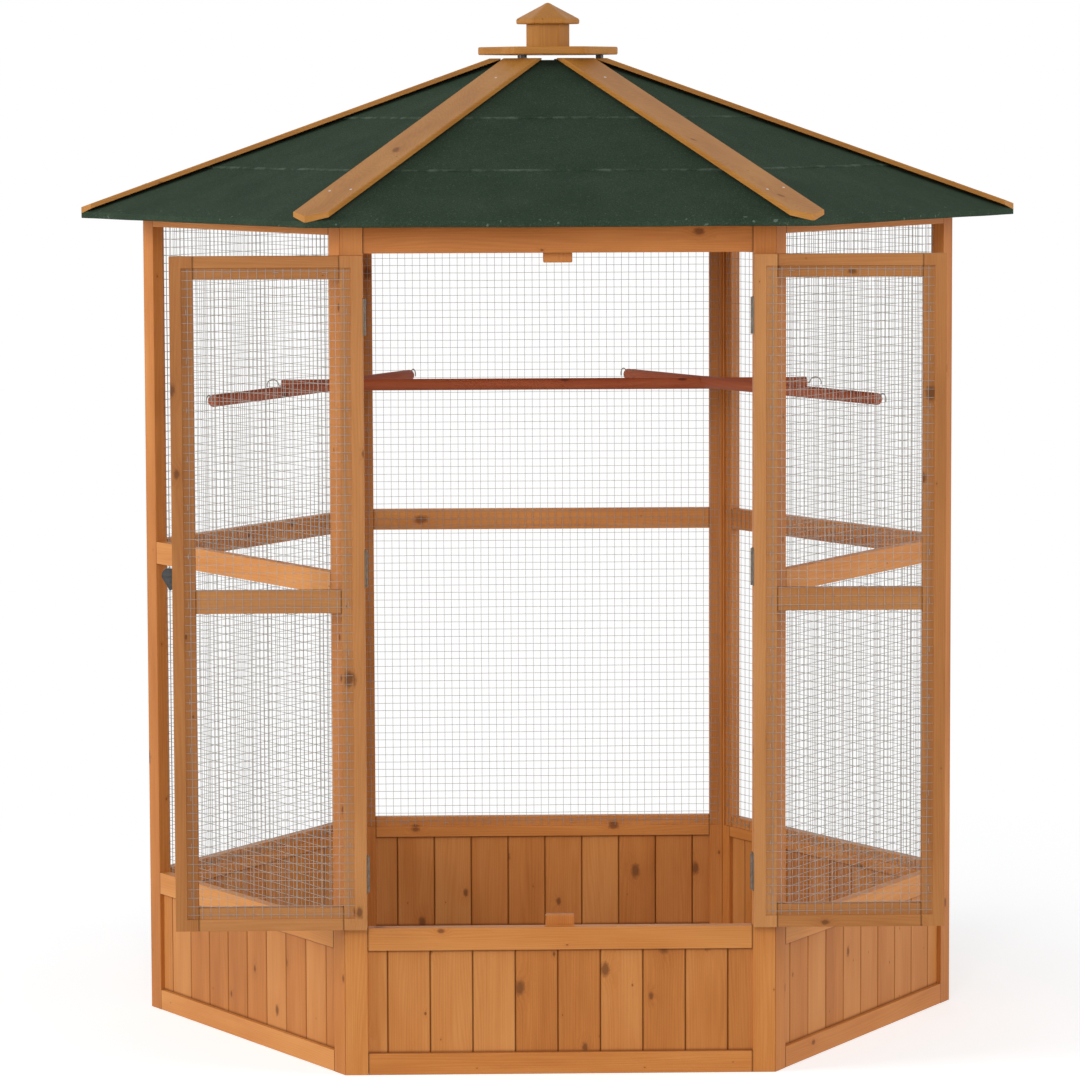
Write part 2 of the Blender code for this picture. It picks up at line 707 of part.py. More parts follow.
def cap_plate_mesh():
    """A hexagonal plate with rounded corners, on three small feet that stand on the hip battens."""
    def plate(bm):
        outline = circle(CAP_PLATE_RADIUS, len(HIP_NAMES))
        loft(bm, [upright(outline, CAP_PLATE_Z + rise) for rise in (0.0, CAP_PLATE_THICK)])
        corners = [edge for edge in bm.edges if abs(edge.verts[0].co.z - edge.verts[1].co.z) > CAP_EDGE_ROUND]
        ease(bm, corners, CAP_CORNER_ROUND, CAP_CORNER_STEPS)
        rims = [edge for edge in bm.edges if abs(edge.verts[0].co.z - edge.verts[1].co.z) < CAP_EDGE_ROUND]
        ease(bm, rims, CAP_EDGE_ROUND, CAP_EDGE_STEPS)

    def foot(turn):
        x, y = CAP_FOOT_REACH * math.cos(turn), CAP_FOOT_REACH * math.sin(turn)
        outline = [(x + px, y + py) for px, py in circle(CAP_FOOT_RADIUS, CAP_FOOT_SIDES)]
        top = CAP_PLATE_Z + CAP_PLATE_THICK / 2
        return lambda bm: loft(bm, [upright(outline, z) for z in (CAP_PLATE_Z - CAP_FOOT_HEIGHT, top)])

    turns = [2 * math.pi * i / CAP_FOOT_COUNT for i in range(CAP_FOOT_COUNT)]
    return smooth(combined("cap_plate", plate, joined=[foot(turn) for turn in turns]))


def batten_mesh():
    """A flat hip batten on the +X hip, resting on the ridge and cut parallel to both eaves."""
    hip_slope = ROOF_SLOPE * math.cos(math.pi / 6)
    half = BATTEN_WIDTH / 2
    seat = CAP_PLATE_Z - CAP_FOOT_HEIGHT - FIT_GAP

    def hip_line(radius):
        return ROOF_APEX_Z - hip_slope * radius + FIT_GAP

    inner = (ROOF_APEX_Z + FIT_GAP + BATTEN_TOE - seat) / hip_slope
    level = (ROOF_APEX_Z + FIT_GAP + BATTEN_THICK - seat) / hip_slope
    outer = EAVE_RADIUS + BATTEN_END_REACH
    stations = [(inner, inner), (level, level), (outer, outer - half * HALF_MITRE)]
    bm = bmesh.new()
    rings = []
    for middle, edge in stations:
        outline = [(edge, -half), (middle, 0.0), (edge, half)]
        low = [(x, y, hip_line(x) - abs(y) * BATTEN_UNDERCUT) for x, y in outline]
        high = [(x, y, min(seat, hip_line(x) + BATTEN_THICK)) for x, y in reversed(outline)]
        rings.append(low + high)
    loft(bm, rings)
    return finish(bm, "hip_batten")


def crossing(start, end):
    """Where a long perch passes the cross perch, and the long perch's direction."""
    share = (CROSS_PERCH_Y - start[1]) / (end[1] - start[1])
    run = (end[0] - start[0], end[1] - start[1])
    length = math.hypot(*run)
    return (start[0] + run[0] * share, CROSS_PERCH_Y), (run[0] / length, run[1] / length)


def lap_cutter(point, along, low, high):
    """A block that makes room at a crossing for the other perch, which runs in the direction given."""
    half, reach = PERCH_RADIUS + FIT_GAP, PERCH_LAP_REACH
    corners = ((-reach, -half), (reach, -half), (reach, half), (-reach, half))
    outline = [(point[0] + along[0] * u - along[1] * v, point[1] + along[1] * u + along[0] * v) for u, v in corners]
    return lambda bm: loft(bm, [upright(outline, z) for z in (low, high)])


def perch_mesh(name, start, end, level, laps):
    """A round perch between two points of the net's inner face, with a wire hook at each end and its laps."""
    run = (end[0] - start[0], end[1] - start[1])
    length = math.hypot(*run)
    along = (run[0] / length, run[1] / length)

    def at(distance, side, rise):
        x = start[0] + along[0] * distance - along[1] * side
        y = start[1] + along[1] * distance + along[0] * side
        return (x, y, level + rise)

    def rod(bm):
        ends = [(PERCH_END_GAP, PERCH_END_SHARE), (PERCH_END_GAP + PERCH_END_CHAMFER, 1.0)]
        stations = ends + [(length - distance, share) for distance, share in reversed(ends)]
        outline = circle(PERCH_RADIUS, PERCH_SIDES)
        loft(bm, [[at(d, share * x, share * z) for x, z in outline] for d, share in stations])

    def hook(from_start):
        def build(bm):
            sign = -1 if from_start else 1
            base = PERCH_END_GAP if from_start else length - PERCH_END_GAP
            middle = (0.0 if from_start else length) + sign * (NET_THICK / 2 + FIT_GAP)
            path = [(base - sign * HOOK_ROOT, 0.0), (middle - sign * HOOK_RADIUS, 0.0)]
            for i in range(1, HOOK_STEPS + 1):
                turn = HOOK_SWEEP * i / HOOK_STEPS
                path.append((middle - sign * HOOK_RADIUS * math.cos(turn), HOOK_RADIUS * math.sin(turn)))
            rings = []
            for i, (d, rise) in enumerate(path):
                before, after = path[max(i - 1, 0)], path[min(i + 1, len(path) - 1)]
                step = (after[0] - before[0], after[1] - before[1])
                size = math.hypot(*step)
                normal = (-step[1] / size, step[0] / size)
                rings.append([
                    at(d + normal[0] * x, y, rise + normal[1] * x)
                    for x, y in circle(HOOK_WIRE_RADIUS, HOOK_SIDES)
                ])
            loft(bm, rings)
        return build

    return smooth(combined(name, rod, laps, (hook(True), hook(False))))


def net_inner_apothem():
    return WALL_APOTHEM - REBATE_FLOOR - FIT_GAP - NET_THICK


def build_perches():
    """Both long perches run from a front side wall to the rear wall, over the cross perch."""
    apothem = net_inner_apothem()
    # A cross perch at this Y meets the rear side nets where their line reaches it.
    reach = (apothem - CROSS_PERCH_Y * math.sin(math.pi / 6)) / math.cos(math.pi / 6)
    routes = {"cross": ((-reach, CROSS_PERCH_Y), (reach, CROSS_PERCH_Y))}
    for name, side in DOOR_SIDES.items():
        normal = (-side * math.cos(math.pi / 6), -math.sin(math.pi / 6))
        tangent = (-side * math.sin(math.pi / 6), math.cos(math.pi / 6))
        near = [apothem * n + LONG_PERCH_FRONT[name] * t for n, t in zip(normal, tangent)]
        routes[name] = (near, (LONG_PERCH_REAR[name], apothem))
    meetings = {name: crossing(*routes[name]) for name in DOOR_SIDES}
    below, above = PERCH_Z - 2 * PERCH_RADIUS, PERCH_Z + 2 * PERCH_RADIUS
    for name, (start, end) in routes.items():
        if name == "cross":
            laps = [lap_cutter(point, along, PERCH_Z - FIT_GAP / 2, above) for point, along in meetings.values()]
        else:
            laps = [lap_cutter(meetings[name][0], (1.0, 0.0), below, PERCH_Z + FIT_GAP / 2)]
        mesh = perch_mesh(f"perch_{name}", start, end, perch_level(name == "cross"), laps)
        place(f"perch_{name}", mesh, PERCH_WOOD)


build_walls()
build_front()
build_doors()
build_roof()
build_perches()
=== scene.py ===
# %% [markdown]
# # A hexagonal outdoor aviary
# The aviary is carpentry: upright stiles, rails between them, matched boards at the foot, wire net in rebates,
# and a pyramid roof under mineral felt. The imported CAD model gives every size. This file dresses it: planks
# with eased edges and their own grain, fine wire nets, lapped felt, hooks, staples and nails.

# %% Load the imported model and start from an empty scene
import json
import math

import bmesh
import bpy
import numpy as np
from mathutils import Matrix, Vector

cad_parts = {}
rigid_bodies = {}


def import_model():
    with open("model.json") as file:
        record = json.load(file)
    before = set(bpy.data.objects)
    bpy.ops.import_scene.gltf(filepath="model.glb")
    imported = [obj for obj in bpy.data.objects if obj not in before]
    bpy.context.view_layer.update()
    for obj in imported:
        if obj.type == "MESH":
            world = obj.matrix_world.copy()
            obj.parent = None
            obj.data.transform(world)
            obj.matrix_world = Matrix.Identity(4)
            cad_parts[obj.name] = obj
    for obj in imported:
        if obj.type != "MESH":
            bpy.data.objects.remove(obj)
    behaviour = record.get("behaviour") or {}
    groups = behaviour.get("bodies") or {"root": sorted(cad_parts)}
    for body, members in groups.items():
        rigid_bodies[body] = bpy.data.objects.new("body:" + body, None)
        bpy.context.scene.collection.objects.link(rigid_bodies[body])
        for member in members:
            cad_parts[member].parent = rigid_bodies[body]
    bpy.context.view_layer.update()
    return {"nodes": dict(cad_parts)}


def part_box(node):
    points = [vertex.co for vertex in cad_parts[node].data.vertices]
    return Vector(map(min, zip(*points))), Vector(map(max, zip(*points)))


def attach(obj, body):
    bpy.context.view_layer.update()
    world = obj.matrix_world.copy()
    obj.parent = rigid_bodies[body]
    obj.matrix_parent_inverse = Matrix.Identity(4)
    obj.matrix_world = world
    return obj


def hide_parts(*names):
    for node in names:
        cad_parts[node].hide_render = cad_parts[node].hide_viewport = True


for leftover in list(bpy.data.objects):
    bpy.data.objects.remove(leftover, do_unlink=True)
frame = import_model()

# %% [markdown]
# ## Sizes that the pieces share
# The same numbers as in the CAD source. A wall is worked out lying along X, with Y going inwards from its outer
# face, and is then turned about Z to its side of the hexagon.

# %% Sizes
WALL_SIDE, FRAME_THICK, STILE_WIDTH = 0.850, 0.028, 0.045
BOTTOM_RAIL_TOP, SILL_LOW, SILL_TOP = 0.042, 0.248, 0.293
MID_RAIL_LOW, MID_RAIL_HIGH, TOP_RAIL_LOW, LINTEL_LOW = 0.949, 0.995, 1.655, 1.620
REBATE_MARGIN, REBATE_DEPTH = 0.023, 0.005
MITRE_GAP, FIT_GAP, JOINT_GAP = 0.0006, 0.0003, 0.0002
BOARD_PITCH, BOARD_COUNT, BOARD_THICK, BOARD_RECESS, BOARD_SHIFT = 0.084, 10, 0.010, 0.009, 0.005
GROOVE_WIDTH, GROOVE_DEPTH = 0.005, 0.0025
DOOR_START, DOOR_END, DOOR_MEMBER = 0.002, 0.3765, 0.045
DOOR_FACE, DOOR_THICK = 0.0046, 0.027
DOOR_LOW, DOOR_HIGH, DOOR_MID_LOW, DOOR_MID_HIGH = 0.296, 1.617, 0.921, 0.966
PIN_X, PIN_Y = 0.378, -0.740722
EAVE_RADIUS, EAVE_Z, ROOF_APEX_Z, VENT_APOTHEM = 0.978, 1.686, 2.036, 0.086
DECK_THICK, FELT_THICK, FELT_STEP, FELT_DROP = 0.011, 0.003, 0.0024, 0.013
FELT_COURSES = (0.377, 0.623)
SIXTH, COS_30, TAN_30 = math.pi / 3, math.cos(math.pi / 6), math.tan(math.pi / 6)
WALL_APOTHEM, EAVE_APOTHEM = WALL_SIDE * COS_30, EAVE_RADIUS * COS_30
ROOF_SLOPE = (ROOF_APEX_Z - EAVE_Z) / EAVE_APOTHEM
OPENING_HALF = WALL_SIDE / 2 - STILE_WIDTH
REBATE_FLOOR = FRAME_THICK - REBATE_DEPTH
WALL_TURNS = {"front_right": 1, "rear_right": 2, "rear": 3, "rear_left": 4, "front_left": 5}
SECTORS = ("front", *WALL_TURNS)
HIPS = ("front_right", "right", "rear_right", "rear_left", "left", "front_left")
DOORS = {"left": 1, "right": -1}
WALL_REBATE = (SILL_LOW + REBATE_MARGIN, TOP_RAIL_LOW + STILE_WIDTH - REBATE_MARGIN)
DOOR_REBATE = (DOOR_LOW + REBATE_MARGIN, DOOR_HIGH - REBATE_MARGIN)
DOOR_SPAN = (DOOR_START + REBATE_MARGIN, DOOR_END - REBATE_MARGIN)


def roof_top(apothem):
    """Height of the roof's surface: the apex less the slope times the distance square to the eave."""
    return ROOF_APEX_Z - ROOF_SLOPE * apothem


def wall_top(depth):
    """Height of a wall's planed top at a depth from its outer face, just under the roof's boards."""
    return roof_top(WALL_APOTHEM - depth) - DECK_THICK - FELT_THICK - FIT_GAP


print(f"roof slope {ROOF_SLOPE:.3f}, wall top {wall_top(0.0):.3f} to {wall_top(FRAME_THICK):.3f} m")

# %% [markdown]
# ## The camera
# A long lens from ten metres keeps the hexagon's far walls almost as large as its near ones. The camera's place
# and angles were fitted to the corners of the real aviary, so its axes are built from yaw, pitch and roll.

# %% Camera
CAMERA_PLACE = (-0.2508, -9.9569, 1.9219)
CAMERA_TURNS = [math.radians(angle) for angle in (-1.3262, -5.3433, -0.211)]
FOCAL_PIXELS, PICTURE_PIXELS, SENSOR = 4737.6, 1080, 36.0


def added(name, data):
    """A new object in the scene."""
    made = bpy.data.objects.new(name, data)
    bpy.context.scene.collection.objects.link(made)
    return made


def camera_axes(yaw, pitch, roll):
    """Right, up and backward unit vectors of a camera that looks along +Y before it is turned."""
    right = Vector((math.cos(yaw), math.sin(yaw), 0.0))
    level = Vector((-math.sin(yaw), math.cos(yaw), 0.0))
    zenith = Vector((0, 0, 1))
    forward = level * math.cos(pitch) + zenith * math.sin(pitch)
    up = zenith * math.cos(pitch) - level * math.sin(pitch)
    return right * math.cos(roll) + up * math.sin(roll), up * math.cos(roll) - right * math.sin(roll), -forward


camera_data = bpy.data.cameras.new("photo_camera")
camera_data.sensor_width = SENSOR
camera_data.lens = FOCAL_PIXELS / PICTURE_PIXELS * SENSOR
camera_data.clip_end = 60.0
camera = added("photo_camera", camera_data)
axes = Matrix(camera_axes(*CAMERA_TURNS)).transposed().to_4x4()
camera.matrix_world = Matrix.Translation(CAMERA_PLACE) @ axes
bpy.context.scene.camera = camera
print(f"lens {camera_data.lens:.1f} mm")

# %% [markdown]
# ## Shader maths that reads like maths
# A material is a graph of nodes. Wrapping a socket in a small class lets a plain expression such as
# `grain * 0.6 + 0.2` add the Math nodes by itself, and one method adds every other kind of node.


# %% Shader helpers
def operator(operation):
    """A method that adds one Math node."""
    return lambda value, *others: value.maths(operation, *others)


class Value:
    """A node's output that can be added, multiplied and so on."""

    def __init__(self, graph, socket):
        self.graph, self.socket = graph, socket

    def maths(self, operation, *others, clamp=False):
        """One Math node, with this value in its first socket."""
        sockets = dict(enumerate((self, *others)))
        return self.graph.node("Math", sockets, operation=operation, use_clamp=clamp)

    __add__ = __radd__ = operator("ADD")
    __mul__ = __rmul__ = operator("MULTIPLY")
    __sub__, __truediv__, __abs__ = operator("SUBTRACT"), operator("DIVIDE"), operator("ABSOLUTE")
    larger, sine = operator("MAXIMUM"), operator("SINE")

    def __rsub__(self, number):
        return self.maths("MULTIPLY_ADD", -1.0, number)

    def rise(self, low, high):
        """0 below low, 1 above high, and a straight line between, so low > high gives a fall."""
        return self.maths("MULTIPLY_ADD", 1.0 / (high - low), -low / (high - low), clamp=True)

    def sibling(self, output):
        """Another output of the same node."""
        return Value(self.graph, self.socket.node.outputs[output])


class Graph:
    """A node tree and a short way to add to it."""

    def __init__(self, tree):
        self.tree = tree

    def node(self, kind, sockets=None, output=0, **settings):
        """Adds a ShaderNode of a kind: its settings first, then the values or links of its sockets."""
        made = self.tree.nodes.new("ShaderNode" + kind)
        for name, value in settings.items():
            setattr(made, name, value)
        for name, value in (sockets or {}).items():
            self.fill(made.inputs[name], value)
        return Value(self, made.outputs[output])

    def fill(self, socket, value):
        """Links a value to a socket, or writes a number into it."""
        if isinstance(value, Value):
            self.tree.links.new(value.socket, socket)
        else:
            socket.default_value = value

    def seen(self):
        """1 for camera, glossy and clear rays, which see the stage white, and 0 for those that light the object."""
        camera_ray = self.node("LightPath", output="Is Camera Ray")
        return camera_ray.larger(camera_ray.sibling("Is Glossy Ray")).larger(camera_ray.sibling("Is Transmission Ray"))


class Finish(Graph):
    """A procedural material and the nodes that make it."""

    def __init__(self, name, **surface):
        self.material = bpy.data.materials.new(name)
        self.material.use_nodes = True
        super().__init__(self.material.node_tree)
        self.shader = self.tree.nodes["Principled BSDF"]
        self.set(**surface)

    def set(self, **surface):
        """Fills the shader's sockets: base_color=..., roughness=... as numbers or links."""
        for name, value in surface.items():
            self.fill(self.shader.inputs[name.replace("_", " ").title().replace("Ior", "IOR")], value)

    def place(self):
        """The point's place in the piece, in metres."""
        return self.node("TexCoord", output="Object")

    def parts(self, vector):
        first = self.node("SeparateXYZ", {0: vector})
        return [first.sibling(output) for output in range(3)]

    def noise(self, vector, scale, detail=2.0, roughness=0.5):
        """Noise at one scale, or at a scale for each axis, which stretches it."""
        if isinstance(scale, tuple):
            vector, scale = self.node("VectorMath", {0: vector, 1: scale}, operation="MULTIPLY"), 1.0
        sockets = {"Vector": vector, "Scale": scale, "Detail": detail, "Roughness": roughness}
        return self.node("TexNoise", sockets)

    def ramp(self, value, stops):
        """A colour from a ramp of three stops, each a position and a colour."""
        made = self.node("ValToRGB", {0: value})
        colours = made.socket.node.color_ramp.elements
        colours.new(1.0)
        for stop, (position, colour) in zip(colours, stops):
            stop.position, stop.color = position, (*colour, 1.0)
        return made

    def mix(self, share, first, second):
        """A colour between two colours."""
        first, second = (colour if isinstance(colour, Value) else (*colour, 1.0) for colour in (first, second))
        return self.node("Mix", {0: share, 6: first, 7: second}, output=2, data_type="RGBA")

    def bump(self, height, distance, strength=1.0):
        return self.node("Bump", {"Height": height, "Distance": distance, "Strength": strength})


# %% [markdown]
# ## Stained softwood
# Softwood shows soft bands of early and late wood that run with the plank, fine fibres, and knots that the bands
# flow round. Every plank stores its own coordinates (across, thick, along) in an attribute, so one
# material turns with each stile and rail. Bands are a sine of the distance across, bent by slow noise. A second
# attribute says how near a point is to a joint, and the colour darkens there as painted shade in the joints.


# %% Wood
def wood_finish(name, dark, middle, light, knot, gloss=0.46):
    """Colour is a ramp over bands = sin(across, bent by noise and knots), slow blotches and fine fibres."""
    finish = Finish(name, specular_ior_level=0.16)
    plank, tone, seam = (finish.node("Attribute", output=output, attribute_name=name)
                         for name, output in (("plank", "Vector"), ("tone", "Fac"), ("seam", "Fac")))
    across, thick, along = finish.parts(plank)

    face = finish.node("CombineXYZ", {0: across + thick, 1: along * 0.6})
    cells = {"Vector": face, "Scale": 9.5, "Randomness": 1.0}
    knots = finish.node("TexVoronoi", cells, voronoi_dimensions="2D")
    chance = finish.parts(knots.sibling("Color"))[0].rise(0.30, 1.0)
    ragged = finish.noise(plank, 150.0, 2.0, 0.6) * 0.9 + 0.55
    knot_reach = knots * ragged / (chance * chance * 0.080 + 0.010)
    core = knot_reach.rise(1.3, 0.6)
    halo = knot_reach.rise(4.0, 0.9)

    slow = finish.noise(plank, (16.0, 16.0, 1.1))
    bent = across + thick * 0.6 + slow * 0.085 + halo * halo * 0.010
    bands = (bent * 1050.0).sine()
    fibres = finish.noise(plank, (620.0, 620.0, 9.0), 3.0, 0.6)
    blotch = finish.noise(plank, (17.0, 17.0, 2.4), 3.0, 0.55)

    shade = 0.07 + tone * 0.30 + blotch * 0.70 + bands * 0.040 + (fibres - 0.5) * 0.27 - halo * 0.08
    body = finish.ramp(shade, [(0.12, dark), (0.50, middle), (0.88, light)])
    # Painted shade in the joints: the colour is mixed towards this dark tint where the seam attribute is near 1.
    painted_joint_shade = tuple(0.38 * part for part in dark)
    finish.set(
        base_color=finish.mix(seam * 0.92, finish.mix(core * 0.8, body, knot), painted_joint_shade),
        roughness=gloss + (fibres - 0.5) * 0.25 + core * 0.1,
        normal=finish.bump(fibres * 0.7 + bands * 0.12 - core * 0.5, 0.0005, 0.55),
    )
    return finish.material


FRAME_WOOD, DOOR_WOOD, BOARD_WOOD, PERCH_WOOD, BATTEN_WOOD, DECK_WOOD = (wood_finish(*row) for row in (
    ("honey_frame_wood", (0.33, 0.098, 0.015), (0.50, 0.18, 0.04), (0.64, 0.28, 0.08), (0.15, 0.045, 0.012)),
    # The door wood's darker colours are painted shade on the doors' inner faces; its higher roughness makes it dull.
    ("dull_door_wood_painted_shade", (0.25, 0.085, 0.02), (0.38, 0.15, 0.042), (0.50, 0.225, 0.075), (0.12, 0.04, 0.012), 0.55),
    ("honey_board_wood", (0.30, 0.088, 0.014), (0.47, 0.168, 0.038), (0.59, 0.255, 0.075), (0.14, 0.045, 0.012)),
    ("red_brown_perch_wood", (0.18, 0.035, 0.013), (0.33, 0.075, 0.028), (0.44, 0.125, 0.05),
     (0.10, 0.024, 0.011), 0.58),
    # The batten wood's darker colours are painted shade on these upward-facing pieces: the battens, cap plate and
    # finial.
    ("batten_wood_painted_shade", (0.27, 0.095, 0.014), (0.40, 0.165, 0.028), (0.52, 0.25, 0.065), (0.15, 0.05, 0.013)),
    ("pale_deck_wood", (0.40, 0.175, 0.06), (0.58, 0.29, 0.12), (0.72, 0.43, 0.21), (0.15, 0.05, 0.018), 0.62),
))
print("wood finishes ready")

# %% [markdown]
# ## Mineral felt
# Roofing felt is bitumen with crushed slate pressed into it: almost black-green, quite matt, with paler grains.
# Edges of the courses are scuffed paler. The distance from the centre square to an eave is the largest of three
# dot products, so one formula serves all six faces.


# %% Felt
def felt_finish():
    """Grain colour from fine noise, a pale scuff along the course edges, and a bump from the grains."""
    finish = Finish("green_mineral_felt", roughness=0.95, specular_ior_level=0.08)
    place = finish.place()
    x, y, _ = finish.parts(place)
    apothem = abs(y).larger(abs(x * COS_30 + y * 0.5)).larger(abs(x * COS_30 - y * 0.5))
    grains = finish.noise(place, 430.0, 3.0, 0.7)
    patches = finish.noise(place, 7.0, 4.0, 0.6)
    specks = finish.noise(place, 260.0, 1.0, 0.5).rise(0.66, 0.72)
    wear = finish.noise(place, 34.0, 3.0, 0.6)
    edge = 0.0
    for course in FELT_COURSES:
        edge = abs(apothem - (course - 0.002)).rise(0.0045, 0.0015) + edge
    scuff = edge * wear.rise(0.42, 0.66)
    chips = finish.noise(place, 95.0, 1.0, 0.5).rise(0.71, 0.75)
    chips = chips * apothem.rise(EAVE_APOTHEM - 0.045, EAVE_APOTHEM - 0.015)
    body = finish.ramp(grains * 0.95 + patches * 0.28, [
        (0.30, (0.009, 0.018, 0.010)), (0.58, (0.024, 0.042, 0.025)), (0.86, (0.055, 0.080, 0.054)),
    ])
    pale = finish.mix(specks * 0.32, body, (0.130, 0.160, 0.125))
    finish.set(
        base_color=finish.mix(scuff * 0.5 + chips * 0.6, pale, (0.150, 0.190, 0.150)),
        normal=finish.bump(grains + patches * 0.6, 0.0012, 0.8),
    )
    return finish.material


FELT = felt_finish()


# %% [markdown]
# ## Metals
# The net is galvanised wire, the hinges are zinc-plated and a little brown with handling, and the latch is painted
# black and rubbed on its edges. Metal needs something to reflect, so roughness carries most of the look.


# %% Metals
def metal_finish(name, first, second, roughness, metallic, scale):
    """Mottled metal: colour and roughness both follow one noise."""
    finish = Finish(name, metallic=metallic)
    mottle = finish.noise(finish.place(), scale, 4.0, 0.6)
    finish.set(
        base_color=finish.mix(mottle.rise(0.35, 0.68), first, second),
        roughness=roughness + (mottle - 0.5) * 0.3,
        normal=finish.bump(mottle, 0.0002, 0.4),
    )
    return finish.material


WIRE = metal_finish("galvanised_wire", (0.245, 0.222, 0.195), (0.370, 0.342, 0.308), 0.55, 0.25, 160.0)
HINGE_METAL = metal_finish("plated_hinge_steel", (0.105, 0.082, 0.060), (0.200, 0.162, 0.125), 0.45, 0.70, 120.0)
LATCH_METAL = metal_finish("black_latch_paint", (0.012, 0.012, 0.013), (0.040, 0.040, 0.042), 0.34, 0.10, 220.0)
NAIL_METAL = metal_finish("bright_nail_steel", (0.46, 0.45, 0.44), (0.74, 0.73, 0.71), 0.34, 0.90, 300.0)
print("felt and metals ready")

# %% [markdown]
# ## Planks from numpy
# Every timber here is a section carried along a line: rings of points, skinned with four-sided faces and capped. The
# class below collects such shells in one mesh and stores, for each point, where it lies in its own plank, moved by
# a random step so that no two planks repeat.


# %% Plank builder
def eased(outline, radius, steps=2):
    """Rounds each corner P of a polygon with the curve (1-t)^2 A + 2t(1-t) P + t^2 B, where A and B lie a
    radius away from P on its two sides. A side shorter than two radii gets a smaller round."""
    outline = np.asarray(outline, float)
    ends = []
    for shift in (1, -1):
        side = np.roll(outline, shift, axis=0) - outline
        length = np.linalg.norm(side, axis=1, keepdims=True)
        ends.append(outline + side / np.maximum(length, 1e-9) * np.minimum(radius, length * 0.45))
    t = np.linspace(0.0, 1.0, steps + 1)[None, :, None]
    curve = (1 - t) ** 2 * ends[0][:, None] + 2 * t * (1 - t) * outline[:, None] + t ** 2 * ends[1][:, None]
    return curve.reshape(-1, 2)


def turned(points, turn, origin=(0, 0, 0)):
    """Turns points about Z and moves them: x' = x cos - y sin, y' = x sin + y cos."""
    cos, sin = math.cos(turn), math.sin(turn)
    matrix = np.array([[cos, sin, 0], [-sin, cos, 0], [0, 0, 1]])
    return points @ matrix + np.asarray(origin, float)


def skin_faces(stations, corners):
    """Quads between neighbouring rings, and one flat cap at each end."""
    i, j = np.meshgrid(np.arange(stations - 1), np.arange(corners), indexing="ij")
    k = (j + 1) % corners
    quads = np.stack([i * corners + j, i * corners + k, (i + 1) * corners + k, (i + 1) * corners + j], axis=-1)
    last = (stations - 1) * corners
    return [*quads.reshape(-1, 4).tolist(), list(range(corners))[::-1], list(range(last, last + corners))]


def joined(shells):
    """Many shells of points and faces as one. Each shell's faces count on from the points before it."""
    all_points, all_faces, start = [], [], 0
    for points, faces in shells:
        all_points.append(points.reshape(-1, 3))
        all_faces += [[start + index for index in face] for face in faces]
        start += len(all_points[-1])
    return np.concatenate(all_points), all_faces


def spots(*coordinates):
    """Points from their coordinates. A lone number serves for all of them."""
    return np.stack(np.broadcast_arrays(*coordinates), axis=-1)


def circle(radius, sides, first=0.0):
    """Corners of a regular outline: radius (cos t, sin t), starting at a share of one step."""
    turn = (np.arange(sides) + first) * 2 * math.pi / sides
    return radius * np.column_stack([np.cos(turn), np.sin(turn)])


def outward(mesh):
    """Turns every closed shell of a mesh so that its faces point out."""
    bm = bmesh.new()
    bm.from_mesh(mesh)
    bmesh.ops.recalc_face_normals(bm, faces=bm.faces)
    bm.to_mesh(mesh)
    bm.free()


def show(name, points, faces, look, slot, node=None, body="aviary", smooth=None,
         turn=0.0, origin=(0, 0, 0), mirror=1):
    """Makes the object in its place, hangs it on its body, and hides the CAD node it dresses."""
    mesh = bpy.data.meshes.new(name)
    mesh.from_pydata(turned(points * (mirror, 1, 1), turn, origin).tolist(), [], faces)
    outward(mesh)
    mesh.materials.append(look)
    if smooth:
        mesh.shade_smooth()
        mesh.set_sharp_from_angle(angle=math.radians(smooth))
    made = added(name, mesh)
    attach(made, body)
    if node:
        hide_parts(node)
    return made


SEAM_WIDTH = 0.0034
# Seam values for a rail's four rings: 1 at both ends, where painted shade darkens its joint with the stiles.
END_SEAMS = np.array([[1.0], [0.0], [0.0], [1.0]])


class Carpentry:
    """Planks that are shown as one piece."""

    def __init__(self, seed):
        self.random = np.random.default_rng(seed)
        self.shells, self.stored = [], {"plank": [], "tone": [], "seam": []}

    def plank(self, rings, along, tone=None, seam=0.0):
        """Adds one shell. `along` is the local axis that the grain follows: 0 for X or 2 for Z."""
        points = rings.reshape(-1, 3)
        self.shells.append((points, skin_faces(*rings.shape[:2])))
        order = (2, 1, 0) if along == 0 else (0, 1, 2)
        self.stored["plank"].append(points[:, order] + self.random.uniform(-9.0, 9.0, 3))
        tone = self.random.uniform(0.0, 1.0) if tone is None else tone
        self.stored["tone"].append(np.full(len(points), tone))
        self.stored["seam"].append(np.broadcast_to(seam, rings.shape[:2]).ravel())
        return self

    def build(self, name, look, node, slot="stained_wood", **placing):
        made = show(name, *joined(self.shells), look, slot, node, **placing)
        for title, values in self.stored.items():
            kind, field = ("FLOAT_VECTOR", "vector") if title == "plank" else ("FLOAT", "value")
            attribute = made.data.attributes.new(title, kind, "POINT")
            attribute.data.foreach_set(field, np.concatenate(values).astype(np.float32).ravel())
        return made


def lengthwise(outline, low, high):
    """Rings of a (y, z) section along X: one at each end, and one a little in from it, where the seam fades out."""
    return np.stack([spots(x, *outline.T) for x in (low, low + SEAM_WIDTH, high - SEAM_WIDTH, high)])


def upwards(outline, heights):
    """Rings of an (x, y) section at several heights. A height may be a function of the depth y."""
    x, y = outline.T
    return np.stack([spots(x, y, height(y) if callable(height) else height) for height in heights])


# %% [markdown]
# ## Stiles and rails
# The net lies in a rebate: a step, 5 mm deep, cut in the inside of the frame round each opening. A stile is
# stepped only over the height of the net, so its rings change from the plain section to the stepped one at
# the same height, which leaves a square shoulder. Each arris is eased by about a millimetre.

# %% Frame members
ARRIS = 0.0011
CORNER_X = WALL_SIDE / 2 - MITRE_GAP / 2 / COS_30


